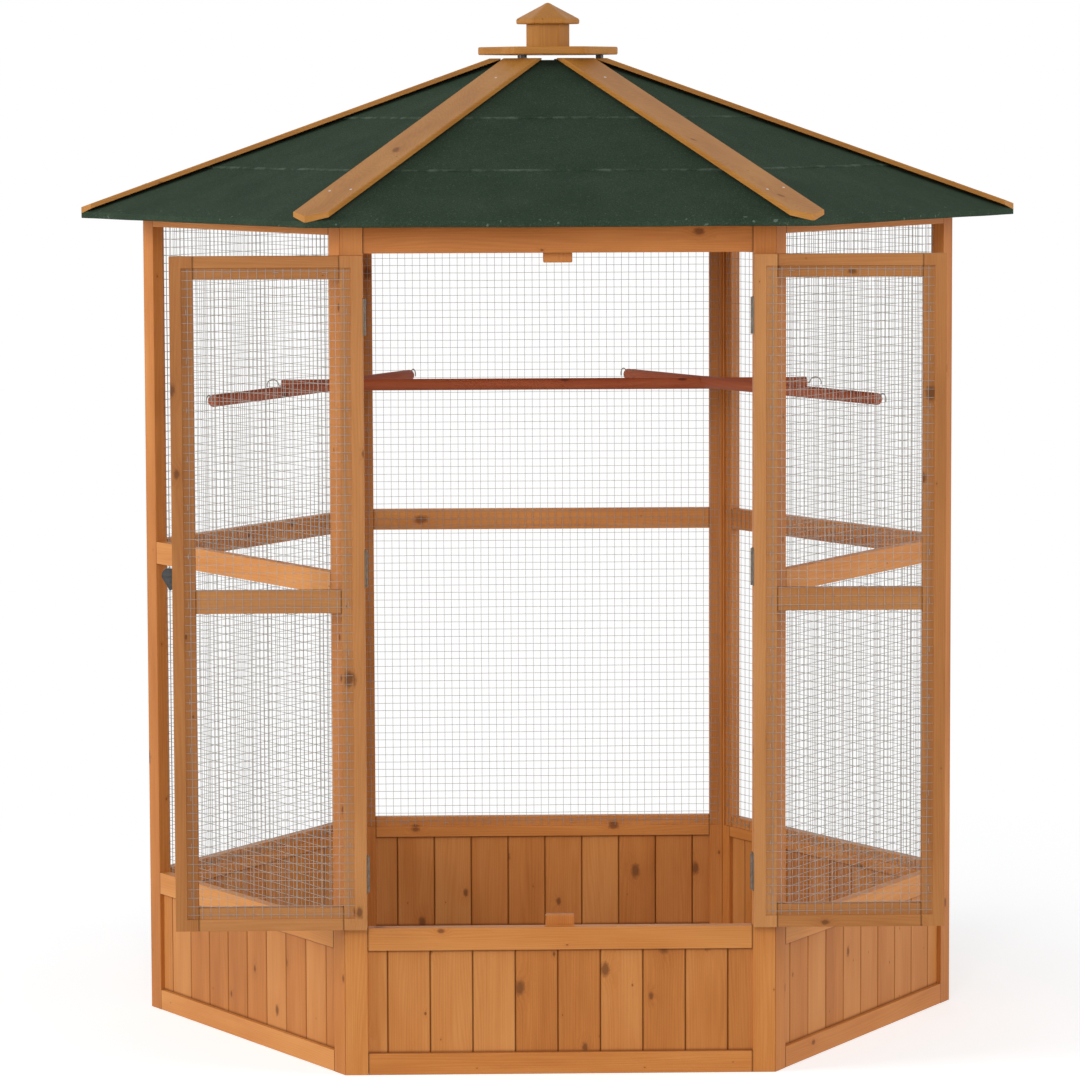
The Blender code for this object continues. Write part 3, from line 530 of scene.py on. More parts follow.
def stile_rings(far, near, step, lean, base, rebate, top, floor=REBATE_FLOOR, face=0.0, thick=FRAME_THICK):
    """An upright from x = far, leaning inwards with depth where it is mitred, to x = near at the opening."""
    back = face + thick
    plain = [(far, face), (near, face), (near, face + floor), (near, back), (step, back), (far + lean * thick, back)]
    stepped = [*plain[:3], (step, face + floor), *plain[4:]]
    low, high = rebate
    parts = ((plain, (base, low)), (stepped, (low, high)), (plain, (high, top)))
    return np.concatenate([upwards(eased(outline, ARRIS), heights) for outline, heights in parts])


def rail_section(low, high, face=0.0, thick=FRAME_THICK, floor=None, cut_low=None, cut_high=None, top=None):
    """(y, z) section of a rail. cut_low or cut_high is the height where its rebate ends or starts."""
    back = face + thick
    step = back if floor is None else face + floor
    at = (lambda depth: high) if top is None else top
    lower = [(back, low)] if cut_low is None else [(step, low), (step, cut_low), (back, cut_low)]
    upper = [(back, at(thick))] if cut_high is None else [(back, cut_high), (step, cut_high), (step, high)]
    return eased([(face, low), *lower, *upper, (face, at(0.0))], ARRIS)


def wall_place(step):
    """How a wall is placed: turned about Z by so many sixths of a turn, its outer face an apothem away."""
    turn = step * SIXTH
    return {"turn": turn, "origin": (WALL_APOTHEM * math.sin(turn), -WALL_APOTHEM * math.cos(turn), 0.0)}


def mirrored_rings(rings, centre=0.0):
    return rings * (-1, 1, 1) + (2 * centre, 0, 0)


def joinery(seed, stile, rails, left, right):
    """A stile, its mirror image, and rails between them from left to right."""
    work = Carpentry(seed)
    work.plank(stile, 2)
    work.plank(mirrored_rings(stile, (left + right) / 2), 2)
    for section in rails:
        work.plank(lengthwise(section, left, right), 0, seam=END_SEAMS)
    return work


wall_stile = stile_rings(-CORNER_X, -OPENING_HALF, REBATE_MARGIN - WALL_SIDE / 2, TAN_30, 0.0, WALL_REBATE, wall_top)
wall_rails = (
    rail_section(0.0, BOTTOM_RAIL_TOP),
    rail_section(SILL_LOW, SILL_TOP, floor=REBATE_FLOOR, cut_high=WALL_REBATE[0]),
    rail_section(MID_RAIL_LOW, MID_RAIL_HIGH, thick=REBATE_FLOOR),
    rail_section(TOP_RAIL_LOW, None, floor=REBATE_FLOOR, cut_low=WALL_REBATE[1], top=wall_top),
)
half = OPENING_HALF - JOINT_GAP
for seed, (name, step) in enumerate(WALL_TURNS.items(), 11):
    work = joinery(seed, wall_stile, wall_rails, -half, half)
    made = work.build(f"wall_timbers_{name}", FRAME_WOOD, f"wall_frame_{name}", **wall_place(step))
print("wall frames:", len(WALL_TURNS), "of", len(made.data.polygons), "faces")

# %% [markdown]
# ## Matched boards
# Tongued boards meet in a V joint, because each board's edge is chamfered. Here each board is a plank of its own,
# so that neighbours differ in tone as they do in a real wall.


# %% Boards
BOARD_OVERLAP = 0.0055      # how far the outer boards run into the stiles' grooves
BOARD_ENDS = ((-0.005, 1.0), (0.001, 0.8), (0.006, 0.0))    # distance from a rail's edge, seam
board_joints = [BOARD_PITCH * (i + 1 - BOARD_COUNT / 2) - BOARD_SHIFT for i in range(BOARD_COUNT - 1)]
board_edges = [-OPENING_HALF - BOARD_OVERLAP, *board_joints, OPENING_HALF + BOARD_OVERLAP]


def board_section(left, right):
    """(x, y) section with a chamfer at each of its four edges."""
    near, far = BOARD_RECESS, BOARD_RECESS + BOARD_THICK
    slope, depth = GROOVE_WIDTH / 2, GROOVE_DEPTH
    return eased([
        (left, near + depth), (left + slope, near), (right - slope, near), (right, near + depth),
        (right, far - depth), (right - slope, far), (left + slope, far), (left, far - depth),
    ], 0.0006, 1)


def boards(name, node, step, seed):
    """One wall's boards. The seam paints shade into each V joint and, over a few millimetres, at both ends."""
    work = Carpentry(seed)
    heights = [BOTTOM_RAIL_TOP + rise for rise, _ in BOARD_ENDS] + [SILL_LOW - rise for rise, _ in BOARD_ENDS[::-1]]
    ends = np.array([seam for _, seam in BOARD_ENDS + BOARD_ENDS[::-1]])[:, None]
    for left, right in zip(board_edges, board_edges[1:]):
        section = board_section(left - 0.0001, right + 0.0001)
        inside = np.maximum(np.minimum(section[:, 0] - left, right - section[:, 0]), 0.0)
        seam = 1.0 - np.clip(inside / GROOVE_WIDTH * 2, 0.0, 1.0)
        work.plank(upwards(section, heights), 2, seam=np.maximum(seam, ends))
    work.build(f"matched_boards_{name}", BOARD_WOOD, node, "board_wood", **wall_place(step))


for seed, (name, step) in enumerate(WALL_TURNS.items(), 31):
    boards(name, f"wall_boards_{name}", step, seed)
boards("front", "front_boards", 0, 41)
print("boards:", 6 * BOARD_COUNT)

# %% [markdown]
# ## The front
# The front wall has no rails of its own height: two posts, a deep lintel, a threshold and a foot rail make the
# doorway. Two small blocks behind the lintel and the threshold stop the doors.

# %% Front timbers
post = upwards(eased([(-CORNER_X, 0.0), (-OPENING_HALF, 0.0), (-OPENING_HALF, FRAME_THICK),
                      (-CORNER_X + TAN_30 * FRAME_THICK, FRAME_THICK)], ARRIS), (0.0, wall_top))
for name, rings in (("left", post), ("right", mirrored_rings(post))):
    Carpentry(52 + len(name)).plank(rings, 2).build(
        f"post_timber_{name}", FRAME_WOOD, f"front_post_{name}", **wall_place(0))
half = OPENING_HALF - 2 * JOINT_GAP
# The lintel's fixed low tone of 0.15 darkens it as painted shade from the eave above it.
for seed, (name, tone, section) in enumerate((
    ("lintel", 0.15, rail_section(LINTEL_LOW, None, top=wall_top)),
    ("threshold_rail", None, rail_section(SILL_LOW, SILL_TOP)),
    ("front_bottom_rail", None, rail_section(0.0, BOTTOM_RAIL_TOP)),
), 60):
    Carpentry(seed).plank(lengthwise(section, -half, half), 0, tone, END_SEAMS).build(
        f"{name}_timber", FRAME_WOOD, name, **wall_place(0))


def block(node, seed, edge=0.002):
    """A CAD block's box as an upright plank with softer edges."""
    low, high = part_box(node)
    outline = eased([(low.x, low.y), (high.x, low.y), (high.x, high.y), (low.x, high.y)], edge)
    inner = (outline - outline.mean(axis=0)) * 0.95 + outline.mean(axis=0)
    rings = [upwards(shape, (height,)) for shape, height in (
        (inner, low.z), (outline, low.z + edge), (outline, high.z - edge), (inner, high.z))]
    Carpentry(seed).plank(np.concatenate(rings), 2).build(f"{node}_block", FRAME_WOOD, node)


block("door_stop_top", 71)
block("door_stop_bottom", 72)
print("front timbers ready")


# %% [markdown]
# ## The doors
# A door is two stiles and three rails, thinner than the walls, with its net in a rebate on the inside. They are shown
# half a turn open, so the camera sees their inside faces. The right door is the left one's mirror image.


# %% Doors
def door_place(name, side):
    """How a door is placed: worked out from the hinge pin, then turned half a turn to where it stands open."""
    return {"body": f"{name}_door", "turn": math.pi, "origin": (-side * PIN_X, PIN_Y, 0.0), "mirror": side}


door_floor = DOOR_THICK - REBATE_DEPTH
door_stile = stile_rings(DOOR_START, DOOR_START + DOOR_MEMBER, DOOR_SPAN[0], 0.0, DOOR_LOW, DOOR_REBATE,
                         DOOR_HIGH, door_floor, DOOR_FACE, DOOR_THICK)
whole = {"face": DOOR_FACE, "thick": DOOR_THICK, "floor": door_floor}
door_rails = (
    rail_section(DOOR_LOW, DOOR_LOW + DOOR_MEMBER, cut_high=DOOR_REBATE[0], **whole),
    rail_section(DOOR_MID_LOW, DOOR_MID_HIGH, face=DOOR_FACE, thick=door_floor),
    rail_section(DOOR_HIGH - DOOR_MEMBER, DOOR_HIGH, cut_low=DOOR_REBATE[1], **whole),
)
left, right = DOOR_START + DOOR_MEMBER + JOINT_GAP, DOOR_END - DOOR_MEMBER - JOINT_GAP
for seed, (name, side) in enumerate(DOORS.items(), 81):
    work = joinery(seed, door_stile, door_rails, left, right)
    work.build(f"{name}_door_timbers", DOOR_WOOD, f"{name}_door_frame", **door_place(name, side))
print("doors ready")


# %% [markdown]
# ## Welded net
# The net is a grid of 1 mm wires about 17 mm apart, with the upright wires in front and the level ones
# welded behind. A wire is a thin square tube, and hundreds of them are made as one array: wires by stations by
# corners. Each wanders by a fraction of a millimetre, as stretched net does.


# %% Nets
WIRE_RADIUS, NET_PITCH, NET_GAP = 0.00055, 0.0168, 0.0008
WALL_COLUMN, DOOR_COLUMN, DOOR_LEVEL = 0.0031, 0.19, 1.0
FLAT_IN_WALL = (0, 1, 0)


def tubes(paths, radius, flat, sides=4):
    """Tubes round many paths at once. A ring's points are centre + radius (cos a . n + sin a . b), where n is the
    normal of the plane that the path lies in and b is the path's direction crossed with n."""
    paths = np.asarray(paths, float)
    count, stations, _ = paths.shape
    direction = np.gradient(paths, axis=1)
    direction /= np.linalg.norm(direction, axis=2, keepdims=True)
    normal = np.broadcast_to(np.asarray(flat, float), direction.shape)
    side = np.cross(direction, normal)
    cos, sin = circle(1.0, sides, 0.5).T[..., None]
    rings = paths[:, :, None] + radius * (cos * normal[:, :, None] + sin * side[:, :, None])
    one = skin_faces(stations, sides)
    return joined([(rings[index], one) for index in range(count)])


def straight(starts, ends, stations, axis, random, wander=0.00035):
    """Paths from start to end that wander sideways as a sum of two slow sines."""
    t = np.linspace(0.0, 1.0, stations)
    paths = starts[:, None] * (1 - t)[None, :, None] + ends[:, None] * t[None, :, None]
    phase = random.uniform(0, 2 * math.pi, (2, len(starts), 1))
    size = random.uniform(0.3, 1.0, (2, len(starts), 1)) * wander
    wave = size[0] * np.sin(2 * math.pi * t * 1.3 + phase[0]) + size[1] * np.sin(2 * math.pi * t * 3.1 + phase[1])
    paths[:, :, axis] += wave
    return paths


def inset(span, by):
    """A pair of ends, each moved inwards."""
    return span[0] + by, span[1] - by


def lines(low, high, through):
    """Wire places from low to high at the net's pitch, one of them at `through`."""
    first = through - math.floor((through - low) / NET_PITCH) * NET_PITCH
    return np.arange(first, high, NET_PITCH)


def net_wires(name, node, span, heights, level, column, depth, seed, **placing):
    """One net: upright wires at depth, and level wires nearly a diameter behind them."""
    random = np.random.default_rng(seed)
    xs, zs = lines(*span, column), lines(*heights, level)
    behind = depth + WIRE_RADIUS * 1.8
    upright = straight(*(spots(xs, depth, z) for z in heights), 17, 0, random)
    across = straight(*(spots(x, behind, zs) for x in span), 13, 2, random)
    points, faces = joined([tubes(paths, WIRE_RADIUS, FLAT_IN_WALL) for paths in (upright, across)])
    show(name, points, faces, WIRE, "net_wire", node, **placing)
    return len(faces)


PERCH_RADIUS, PERCH_Z, PERCH_END_GAP, PERCH_LAP = 0.0125, 1.298, 0.018, 0.011
HOOK_RADIUS, HOOK_WIRE = 0.0125, 0.00125
CROSS_PERCH_Y = 0.395
LONG_FRONT = {"left": 0.180, "right": 0.128}
LONG_REAR = {"left": -0.289, "right": 0.187}
NET_THICK = 0.002
NET_APOTHEM = WALL_APOTHEM - REBATE_FLOOR - FIT_GAP - NET_THICK


def perch_level(cross):
    """The long perches lie a little above the crossing's height and the cross one below it."""
    return PERCH_Z + (PERCH_RADIUS - PERCH_LAP) * (-1 if cross else 1)


def hook_wire_level(cross):
    """Height of the net wire that a hook hangs on: just under the top of the hook's bend."""
    return perch_level(cross) + HOOK_RADIUS - HOOK_WIRE - WIRE_RADIUS - 0.0001


half = WALL_SIDE / 2 - REBATE_MARGIN - NET_GAP
WALL_SPAN, WALL_NET_DEPTH = (-half, half), REBATE_FLOOR + FIT_GAP
DOOR_NET_DEPTH = DOOR_FACE + DOOR_THICK - REBATE_DEPTH + FIT_GAP
for seed, (name, step) in enumerate(WALL_TURNS.items(), 91):
    level = hook_wire_level(name in ("rear_left", "rear_right"))
    net_wires(f"net_{name}", f"wall_net_{name}", WALL_SPAN, inset(WALL_REBATE, NET_GAP), level, WALL_COLUMN,
              WALL_NET_DEPTH + WIRE_RADIUS, seed, **wall_place(step))
for seed, (name, side) in enumerate(DOORS.items(), 99):
    count = net_wires(f"net_{name}_door", f"{name}_door_net", inset(DOOR_SPAN, NET_GAP), inset(DOOR_REBATE, NET_GAP),
                      DOOR_LEVEL, DOOR_COLUMN, DOOR_NET_DEPTH + WIRE_RADIUS, seed, **door_place(name, side))
print("nets:", len(WALL_TURNS) + len(DOORS), "last has", count, "faces")

# %% [markdown]
# ## Felt over boards
# The roof's deck is boards laid level and mitred on the hips. Felt lies over it in three courses, each lapping the
# one below, and the last is turned down over the eave. A course is a closed section carried along the eave,
# and it rises and falls by less than a millimetre.

# %% Roof
HIP_REACH = 0.0004 / math.sqrt(3)
COURSE_THICK, COURSE_LAP, FELT_RIPPLE = 0.0027, 0.02, 0.00035
BOARD_SPLITS = np.linspace(VENT_APOTHEM, EAVE_APOTHEM - 0.004, 9)


def along_eave(section, stations, ripple, seed):
    """Rings of an (apothem, height) section: x = s (a tan 30 - reach), y = -a, z + a small ripple."""
    phase = np.random.default_rng(seed).uniform(0, 2 * math.pi, 3)
    s = np.linspace(-1.0, 1.0, stations)[:, None]
    a, z = section[None, :, 0], section[None, :, 1]
    x = s * (a * TAN_30 - HIP_REACH)
    wave = np.sin(x * 9 + phase[0]) * np.sin(a * 11 + phase[1]) + 0.6 * np.sin(x * 23 + a * 17 + phase[2])
    return np.stack([x, np.broadcast_to(-a, x.shape), z + ripple * wave * (1 - s ** 8)], axis=-1)


def felt_section(inner, outer, last):
    """A felt course, with a turned-down edge on the last one."""
    a = np.linspace(inner, outer, 9)
    top = np.column_stack([a, roof_top(a) - FELT_STEP * (outer - a) / (outer - inner)])
    edge = [(outer + 0.0006, roof_top(outer) - 0.0012)]
    if last:
        back, drop = outer - FELT_THICK, roof_top(outer) - FELT_DROP
        top = top[:-1]
        edge = [(back, roof_top(back)), (outer - 0.0008, roof_top(outer) - 0.0004), (outer, roof_top(outer) - 0.0022),
                (outer, drop + 0.001), (outer - 0.0012, drop), (back, drop), (back, roof_top(back) - 0.0028)]
    return np.concatenate([top, edge, top[::-1] - (0.0, COURSE_THICK)])


def deck_section(inner, outer):
    """A deck board's section, its faces parallel to the roof."""
    low, high = DECK_THICK + FELT_THICK, FELT_THICK + 0.0004
    inner, outer = inset((inner, outer), JOINT_GAP)
    return eased([(a, roof_top(a) - drop) for a, drop in
                  ((inner, low), (outer, low), (outer, high), (inner, high))], 0.0012)


limits = (VENT_APOTHEM, *FELT_COURSES, EAVE_APOTHEM)
for index, name in enumerate(SECTORS):
    turn, node = index * SIXTH, f"roof_panel_{name}"
    shells = []
    for course, (inner, outer) in enumerate(zip(limits, limits[1:])):
        section = felt_section(inner - (COURSE_LAP if course else 0.0), outer, outer == EAVE_APOTHEM)
        rings = along_eave(section, 33, FELT_RIPPLE, 10 * index + course)
        shells.append((rings, skin_faces(*rings.shape[:2])))
    show(f"felt_{name}", *joined(shells), FELT, "roof_felt", node, turn=turn)
    work = Carpentry(120 + index)
    for inner, outer in zip(BOARD_SPLITS, BOARD_SPLITS[1:]):
        work.plank(along_eave(deck_section(inner, outer), 2, 0.0, 0), 0)
    work.build(f"deck_{name}", DECK_WOOD, node, turn=turn)
print("roof faces:", len(SECTORS))

# %% [markdown]
# ## Battens and finial
# A flat batten covers each hip and is cut parallel to the two eaves it points at. The cap plate stands on three
# small feet, so a line of light shows under it, and the finial is a six-sided block under a low pyramid.

# %% Battens
BATTEN_HALF, BATTEN_THICK, BATTEN_UNDERCUT, BATTEN_ARRIS, BATTEN_KEEL = 0.040, 0.0095, 0.02, 0.0022, 0.0036
HIP_SLOPE = ROOF_SLOPE * COS_30
CAP_PLATE_Z, CAP_PLATE_THICK, CAP_FOOT_HEIGHT = 2.0095, 0.0162, 0.0073
BATTEN_SEAT = CAP_PLATE_Z - CAP_FOOT_HEIGHT - FIT_GAP


def hip_line(radius):
    """Height of the ridge between two roof faces, a fit gap above it."""
    return ROOF_APEX_Z - HIP_SLOPE * radius + FIT_GAP


def batten_ring(middle, point):
    """A ring across the hip. The corners' places along the hip fall back by tan 30 times their distance from the
    ridge where the end is pointed. A low keel beds the batten in the seam between two panels."""
    arris, half = BATTEN_ARRIS, BATTEN_HALF
    across = np.array([-half, 0.0, half, half, half - 0.35 * arris, half - arris, 0.0,
                       arris - half, 0.35 * arris - half, -half])
    drop = arris * np.array([0, 0, 0, 1, 0.35, 0, 0, 0, 0.35, 1])
    along = middle - np.abs(across) * TAN_30 * point
    z = np.minimum(BATTEN_SEAT, hip_line(along) + BATTEN_THICK) - drop
    z[:3] = hip_line(along[:3]) - (half * BATTEN_UNDERCUT, BATTEN_KEEL, half * BATTEN_UNDERCUT)
    return np.column_stack([along, across, z])


inner_end, level_end = ((ROOF_APEX_Z + FIT_GAP + rise - BATTEN_SEAT) / HIP_SLOPE for rise in (0.0012, BATTEN_THICK))
rings = np.stack([batten_ring(*end) for end in (
    (inner_end, 0), (level_end, 0), (EAVE_RADIUS - 0.0015, 1), (EAVE_RADIUS, 1))])
for index, name in enumerate(HIPS):
    Carpentry(140 + index).plank(rings, 0).build(
        f"batten_timber_{name}", BATTEN_WOOD, f"hip_batten_{name}", turn=(index - 1) * SIXTH)
print(f"battens from {inner_end:.3f} to {EAVE_RADIUS:.3f} m along the hips")


# %% Cap plate and finial
def hexagonal(node, ease, base, profile, seed, along=2):
    """A rounded hexagon, scaled to each (radius, height above the base) of a profile."""
    widest = max(radius for radius, _ in profile)
    outline = eased(circle(widest, 6), ease, 4)
    rings = np.stack([spots(*(outline * (radius / widest)).T, base + rise) for radius, rise in profile])
    Carpentry(seed).plank(rings, along, 0.3).build(f"{node}_timber", BATTEN_WOOD, node)


BLOCK_HEIGHT = 0.047
FOOT_RADIUS, FOOT_REACH, FOOT_SINK = 0.008, 0.108, 0.001
hexagonal("cap_plate", 0.014, CAP_PLATE_Z, [
    (0.1475, 0.0), (0.1490, 0.0012), (0.1495, 0.003), (0.1495, CAP_PLATE_THICK - 0.003),
    (0.1490, CAP_PLATE_THICK - 0.0012), (0.1475, CAP_PLATE_THICK)], 151, 0)
block_low = CAP_PLATE_Z + CAP_PLATE_THICK + FIT_GAP
hexagonal("finial_block", 0.004, block_low, [
    (0.0455, 0.0), (0.0460, 0.001), (0.0460, BLOCK_HEIGHT - 0.001), (0.0455, BLOCK_HEIGHT)], 152)
hexagonal("finial_cap", 0.008, block_low + BLOCK_HEIGHT + FIT_GAP, [
    (0.0655, 0.0), (0.0672, 0.001), (0.0680, 0.0035), (0.0680, 0.0082), (0.0665, 0.0110), (0.0630, 0.0130),
    (0.0300, 0.0300), (0.0110, 0.0398), (0.0060, 0.0428), (0.0020, 0.0443)], 153)
foot = upwards(circle(FOOT_RADIUS, 16) + (FOOT_REACH, 0.0), (CAP_PLATE_Z - CAP_FOOT_HEIGHT, CAP_PLATE_Z + FOOT_SINK))
feet = [(turned(foot, turn), skin_faces(2, 16)) for turn in (0.0, 2 * SIXTH, 4 * SIXTH)]
show("cap_plate_feet", *joined(feet), LATCH_METAL, "latch_metal")
print("finial ready")

# %% [markdown]
# ## Perches
# The perches are red-brown rods. A wire is let into each end and bent into a hook that hangs on a level wire of the
# net. The two long perches lie on the cross one, and each crossing is lapped like two halved rails.

# %% Perches
HOOK_SWEEP, HOOK_STEPS, HOOK_ROOT, HOOK_PLAY = math.radians(200), 18, 0.010, 0.001
ROD_ENDS = ((0.0, 0.90), (0.0006, 0.965), (0.0018, 1.0))    # distance from the end, share of the radius
LAP_CLEAR, SHOULDER = 0.035, 1e-6


def perch_routes():
    """Start and end of each perch's line on the nets' inner faces."""
    reach = (NET_APOTHEM - CROSS_PERCH_Y * 0.5) / COS_30
    routes = {"cross": ((-reach, CROSS_PERCH_Y), (reach, CROSS_PERCH_Y))}
    for name, side in DOORS.items():
        normal = np.array([-side * COS_30, -0.5])
        tangent = np.array([-side * 0.5, COS_30])
        near = NET_APOTHEM * normal + LONG_FRONT[name] * tangent
        routes[name] = (tuple(near), (LONG_REAR[name], NET_APOTHEM))
    return routes


def laps(name, start, routes):
    """For each crossing: its distance along this perch, and the cotangent of the angle to the other one."""
    found = []
    for other in DOORS:
        if name not in ("cross", other):
            continue
        near, far = np.array(routes[other])
        share = (CROSS_PERCH_Y - near[1]) / (far[1] - near[1])
        point, cotangent = near + (far - near) * share, (far[0] - near[0]) / (far[1] - near[1])
        found.append((float(np.hypot(*(point - start))), cotangent if name == "cross" else -cotangent))
    return found


def perch(name, start, end, seed, meetings):
    """A rod carried along local X, and a hook at each end: straight in, then an arc of 200 degrees. At a crossing
    the rod is cut flat. The cut's shoulders lie along the other perch: x = middle +- half / sin + y cot."""
    run = np.subtract(end, start)
    length, turn = float(np.hypot(*run)), math.atan2(run[1], run[0])
    placing = {"turn": turn, "origin": (*start, perch_level(name == "cross"))}
    across, upright = circle(PERCH_RADIUS, 28).T
    near, far = PERCH_END_GAP, length - PERCH_END_GAP
    stations = [(x, share, 0, 0) for reach, share in ROD_ENDS for x in (near + reach, far - reach)]
    stations += [(x, 1.0, 0, 0) for x in np.linspace(near, far, 14)[1:-1]
                 if all(abs(x - middle) > LAP_CLEAR for middle, _ in meetings)]
    for middle, cotangent in meetings:
        half = (PERCH_RADIUS + FIT_GAP) * math.hypot(1.0, cotangent)
        stations += [(middle + reach, 1.0, cotangent, cut) for reach, cut in
                     ((-half, 0), (SHOULDER - half, 1), (half - SHOULDER, 1), (half, 0))]
    lap_height = PERCH_RADIUS - PERCH_LAP - FIT_GAP / 2
    rings = []
    for x, share, skew, cut in sorted(stations):
        z = upright * share
        if cut:
            z = np.minimum(z, lap_height) if name == "cross" else np.maximum(z, -lap_height)
        rings.append(np.column_stack([x + across * skew, across * share, z]))
    Carpentry(seed).plank(np.stack(rings), 0, 0.5).build(
        f"perch_rod_{name}", PERCH_WOOD, f"perch_{name}", "perch_wood", smooth=40, **placing)
    arc = np.linspace(0.0, HOOK_SWEEP, HOOK_STEPS)
    x = np.array([-PERCH_END_GAP - HOOK_ROOT, -HOOK_RADIUS - HOOK_PLAY, *-HOOK_RADIUS * np.cos(arc)])
    hook = spots(x, 0.0, [0.0, 0.0, *HOOK_RADIUS * np.sin(arc)])
    middle = (HOOK_PLAY + FIT_GAP, 0, 0)
    hooks = tubes([hook * (-1, 1, 1) - middle, hook + (length, 0, 0) + middle], HOOK_WIRE, FLAT_IN_WALL, 8)
    show(f"perch_hooks_{name}", *hooks, WIRE, "net_wire", smooth=50, **placing)


routes = perch_routes()
for seed, (name, (start, end)) in enumerate(routes.items(), 161):
    perch(name, start, end, seed, laps(name, start, routes))
print("perches ready")

# %% [markdown]
# ## Nails and staples
# Two nails hold each batten near the eave and one near the cap, and staples hold the nets in their rebates. All
# are tiny, so each is a few faces, and one array holds them.


# %% Fixings
BUTTON_SIDES, NAIL_RADIUS, NAIL_RISE = 10, 0.0027, 0.0008
STAPLE_INSET, STAPLE_HALF, STAPLE_LEG, STAPLE_PITCH = 0.009, 0.0052, 0.0022, 0.095
STAPLE_FIRST, STAPLE_LAST = 0.05, 0.03


def buttons(centres, normals, radius, rise):
    """Low domes: rings of radius r and height h along the normal n, for (r, h) from the rim to the middle."""
    helper = np.where(np.abs(normals[:, 2:3]) > 0.9, (1, 0, 0), (0, 0, 1))
    first = np.cross(normals, helper)
    first /= np.linalg.norm(first, axis=1, keepdims=True)
    second = np.cross(normals, first)
    x, y = circle(1.0, BUTTON_SIDES).T[:, None, :, None]
    around = x * first[:, None] + y * second[:, None]
    profile = ((1.0, -0.4), (1.0, 0.45), (0.75, 0.85), (0.3, 1.0))
    rings = [centres[:, None] + radius * share * around + normals[:, None] * rise * height
             for share, height in profile]
    one = skin_faces(len(profile), BUTTON_SIDES)
    return joined([(button, one) for button in np.stack(rings, axis=1)])


nail_normal = np.array([HIP_SLOPE, 0.0, 1.0]) / math.hypot(HIP_SLOPE, 1.0)
centres, normals = [], []
for index in range(len(HIPS)):
    turn = (index - 1) * SIXTH
    places = ((0.850, -0.021), (0.842, 0.022), (0.236, 0.007 if index > 2 else -0.007))
    heads = np.array([(r, y, hip_line(r) + BATTEN_THICK) for r, y in places])
    centres.append(turned(heads, turn))
    normals.append(turned(np.tile(nail_normal, (len(places), 1)), turn))
nails = buttons(np.concatenate(centres), np.concatenate(normals), NAIL_RADIUS, NAIL_RISE)
show("batten_nails", *nails, NAIL_METAL, "hinge_metal", smooth=60)


def staples(name, span, heights, depth, **placing):
    """U-shaped wires round the edge of a net: leg, crown across the net's wires, leg."""
    upright = np.array([(0, -STAPLE_LEG, -STAPLE_HALF), (0, 0, -STAPLE_HALF), (0, 0, STAPLE_HALF),
                        (0, -STAPLE_LEG, STAPLE_HALF)])
    xs, zs = (np.arange(low + STAPLE_FIRST, high - STAPLE_LAST, STAPLE_PITCH) for low, high in (span, heights))
    sides = [(spots(x, depth, zs), upright, (1, 0, 0)) for x in inset(span, STAPLE_INSET)]
    sides += [(spots(xs, depth, z), upright[:, ::-1], (0, 0, 1)) for z in inset(heights, STAPLE_INSET)]
    shells = [tubes(places[:, None] + shape, WIRE_RADIUS, flat) for places, shape, flat in sides]
    show(name, *joined(shells), WIRE, "net_wire", **placing)


over_wires = WIRE_RADIUS * 4.6
for name, step in WALL_TURNS.items():
    staples(f"staples_{name}", WALL_SPAN, WALL_REBATE, WALL_NET_DEPTH + over_wires, **wall_place(step))
for name, side in DOORS.items():
    staples(f"staples_{name}_door", DOOR_SPAN, DOOR_REBATE, DOOR_NET_DEPTH + over_wires, **door_place(name, side))
print("fixings ready")

# %% [markdown]
# ## Hinges and latch
# These small turned and pressed parts have their true shape in the CAD, so they stay as they are and only get
# their metal. The nodes that pieces above stand for get wood, and aren't seen.

# %% Hinges and latch
for name, node in frame["nodes"].items():
    node.data.materials.clear()
    node.data.materials.append(
        HINGE_METAL if "_hinge_" in name else LATCH_METAL if name.startswith("latch_") else FRAME_WOOD)
print("CAD nodes finished:", len(frame["nodes"]))

# %% [markdown]
# ## Floor and light
# The floor is pale and takes the shadow. For camera rays only, a glow lifts it and the sky to the picture's white,
# so no extra light falls on the wood. Away from the aviary the floor turns into pure white, and its edge never shows
# against the sky. Large soft lamps from both sides and a farther one from the front model the timbers.


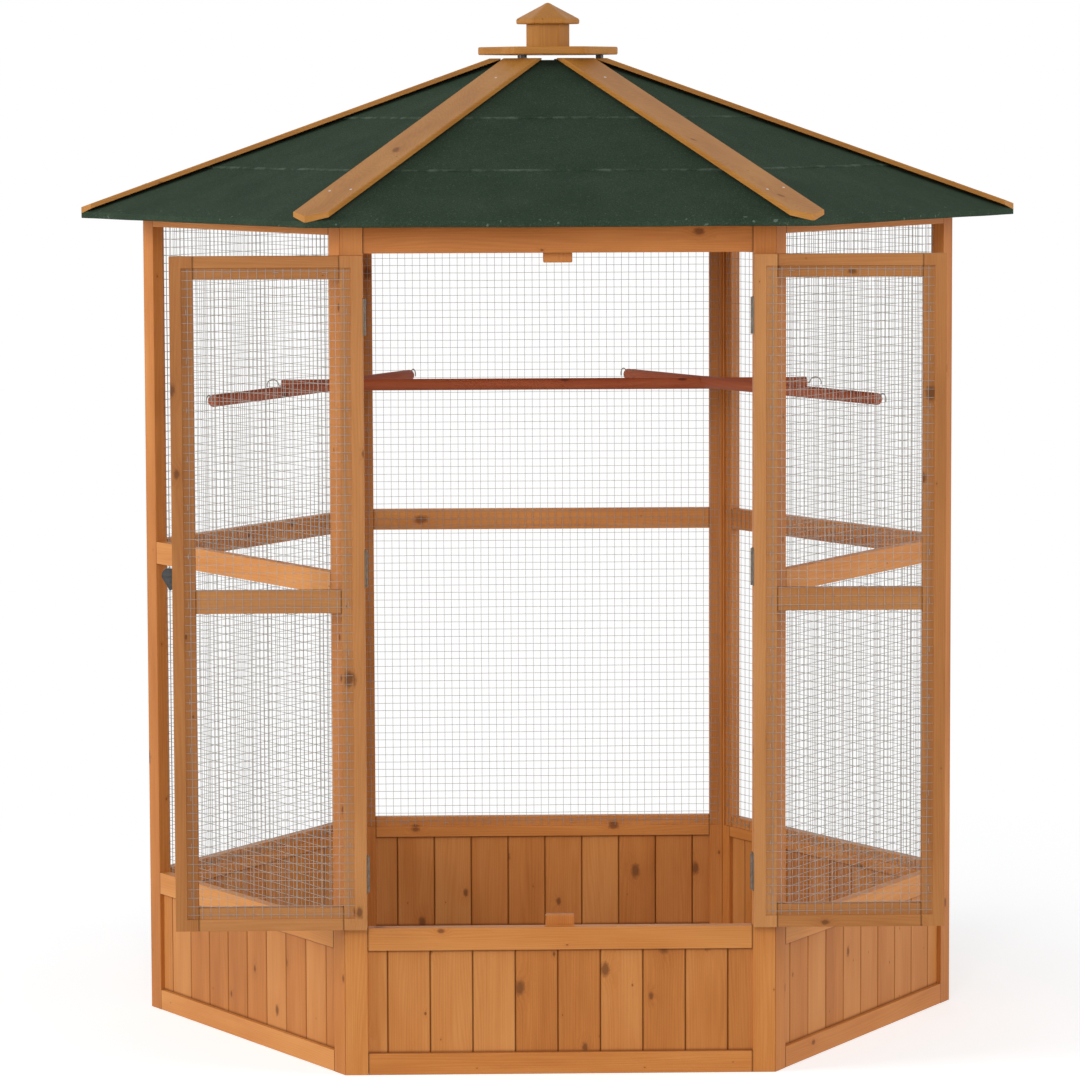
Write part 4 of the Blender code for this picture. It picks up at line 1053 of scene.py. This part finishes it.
# %% Studio
WHITE = (1.0, 1.0, 1.0, 1.0)
FLOOR_REACH, FLOOR_DROP = 30.0, 0.0005


def floor_finish():
    """Matt pale grey plus the glow, which turns to plain white from 1.3 to 3 m from the middle."""
    finish = Finish("pale_floor", base_color=(0.70, 0.71, 0.72, 1.0), roughness=0.95, specular_ior_level=0.0)
    seen = finish.seen()
    glow = finish.node("Emission", {"Color": WHITE, "Strength": seen * 0.50})
    near = finish.node("AddShader", {0: Value(finish, finish.shader.outputs[0]), 1: glow})
    white = finish.node("Emission", {"Color": WHITE, "Strength": 1.0})
    radius = finish.node("VectorMath", {0: finish.place()}, output=1, operation="LENGTH")
    total = finish.node("MixShader", {0: radius.rise(1.3, 3.0) * seen, 1: near, 2: white})
    finish.fill(finish.tree.nodes["Material Output"].inputs["Surface"], total)
    return finish.material


floor_mesh = bpy.data.meshes.new("floor")
floor_mesh.from_pydata([(x * FLOOR_REACH, y * FLOOR_REACH, -FLOOR_DROP)
                        for x, y in ((-1, -1), (1, -1), (1, 1), (-1, 1))], [], [(0, 1, 2, 3)])
floor_mesh.materials.append(floor_finish())
added("floor", floor_mesh)


def studio_world(level):
    """An even sky: `level` on the object, white to the camera."""
    world = bpy.data.worlds.new("studio")
    world.use_nodes = True
    graph = Graph(world.node_tree)
    background = graph.tree.nodes["Background"].inputs
    graph.fill(background["Color"], WHITE)
    graph.fill(background["Strength"], graph.seen().maths("MULTIPLY_ADD", 1.0 - level, level))
    bpy.context.scene.world = world


def lamp(name, place, size, power):
    """A square soft lamp that looks at the aviary's middle."""
    data = bpy.data.lights.new(name, "AREA")
    data.size, data.energy = size, power
    made = added(name, data)
    made.location = place
    made.rotation_euler = (Vector((0, 0, 1)) - Vector(place)).to_track_quat("-Z", "Y").to_euler()


studio_world(0.46)
lamp("key_lamp", (-7.3, -2.4, 3.0), 3.5, 330.0)
lamp("fill_lamp", (7.3, -2.4, 2.6), 4.0, 230.0)
lamp("front_lamp", (-1.0, -9.5, 3.4), 3.0, 310.0)
bpy.context.scene.view_settings.view_transform = "Standard"
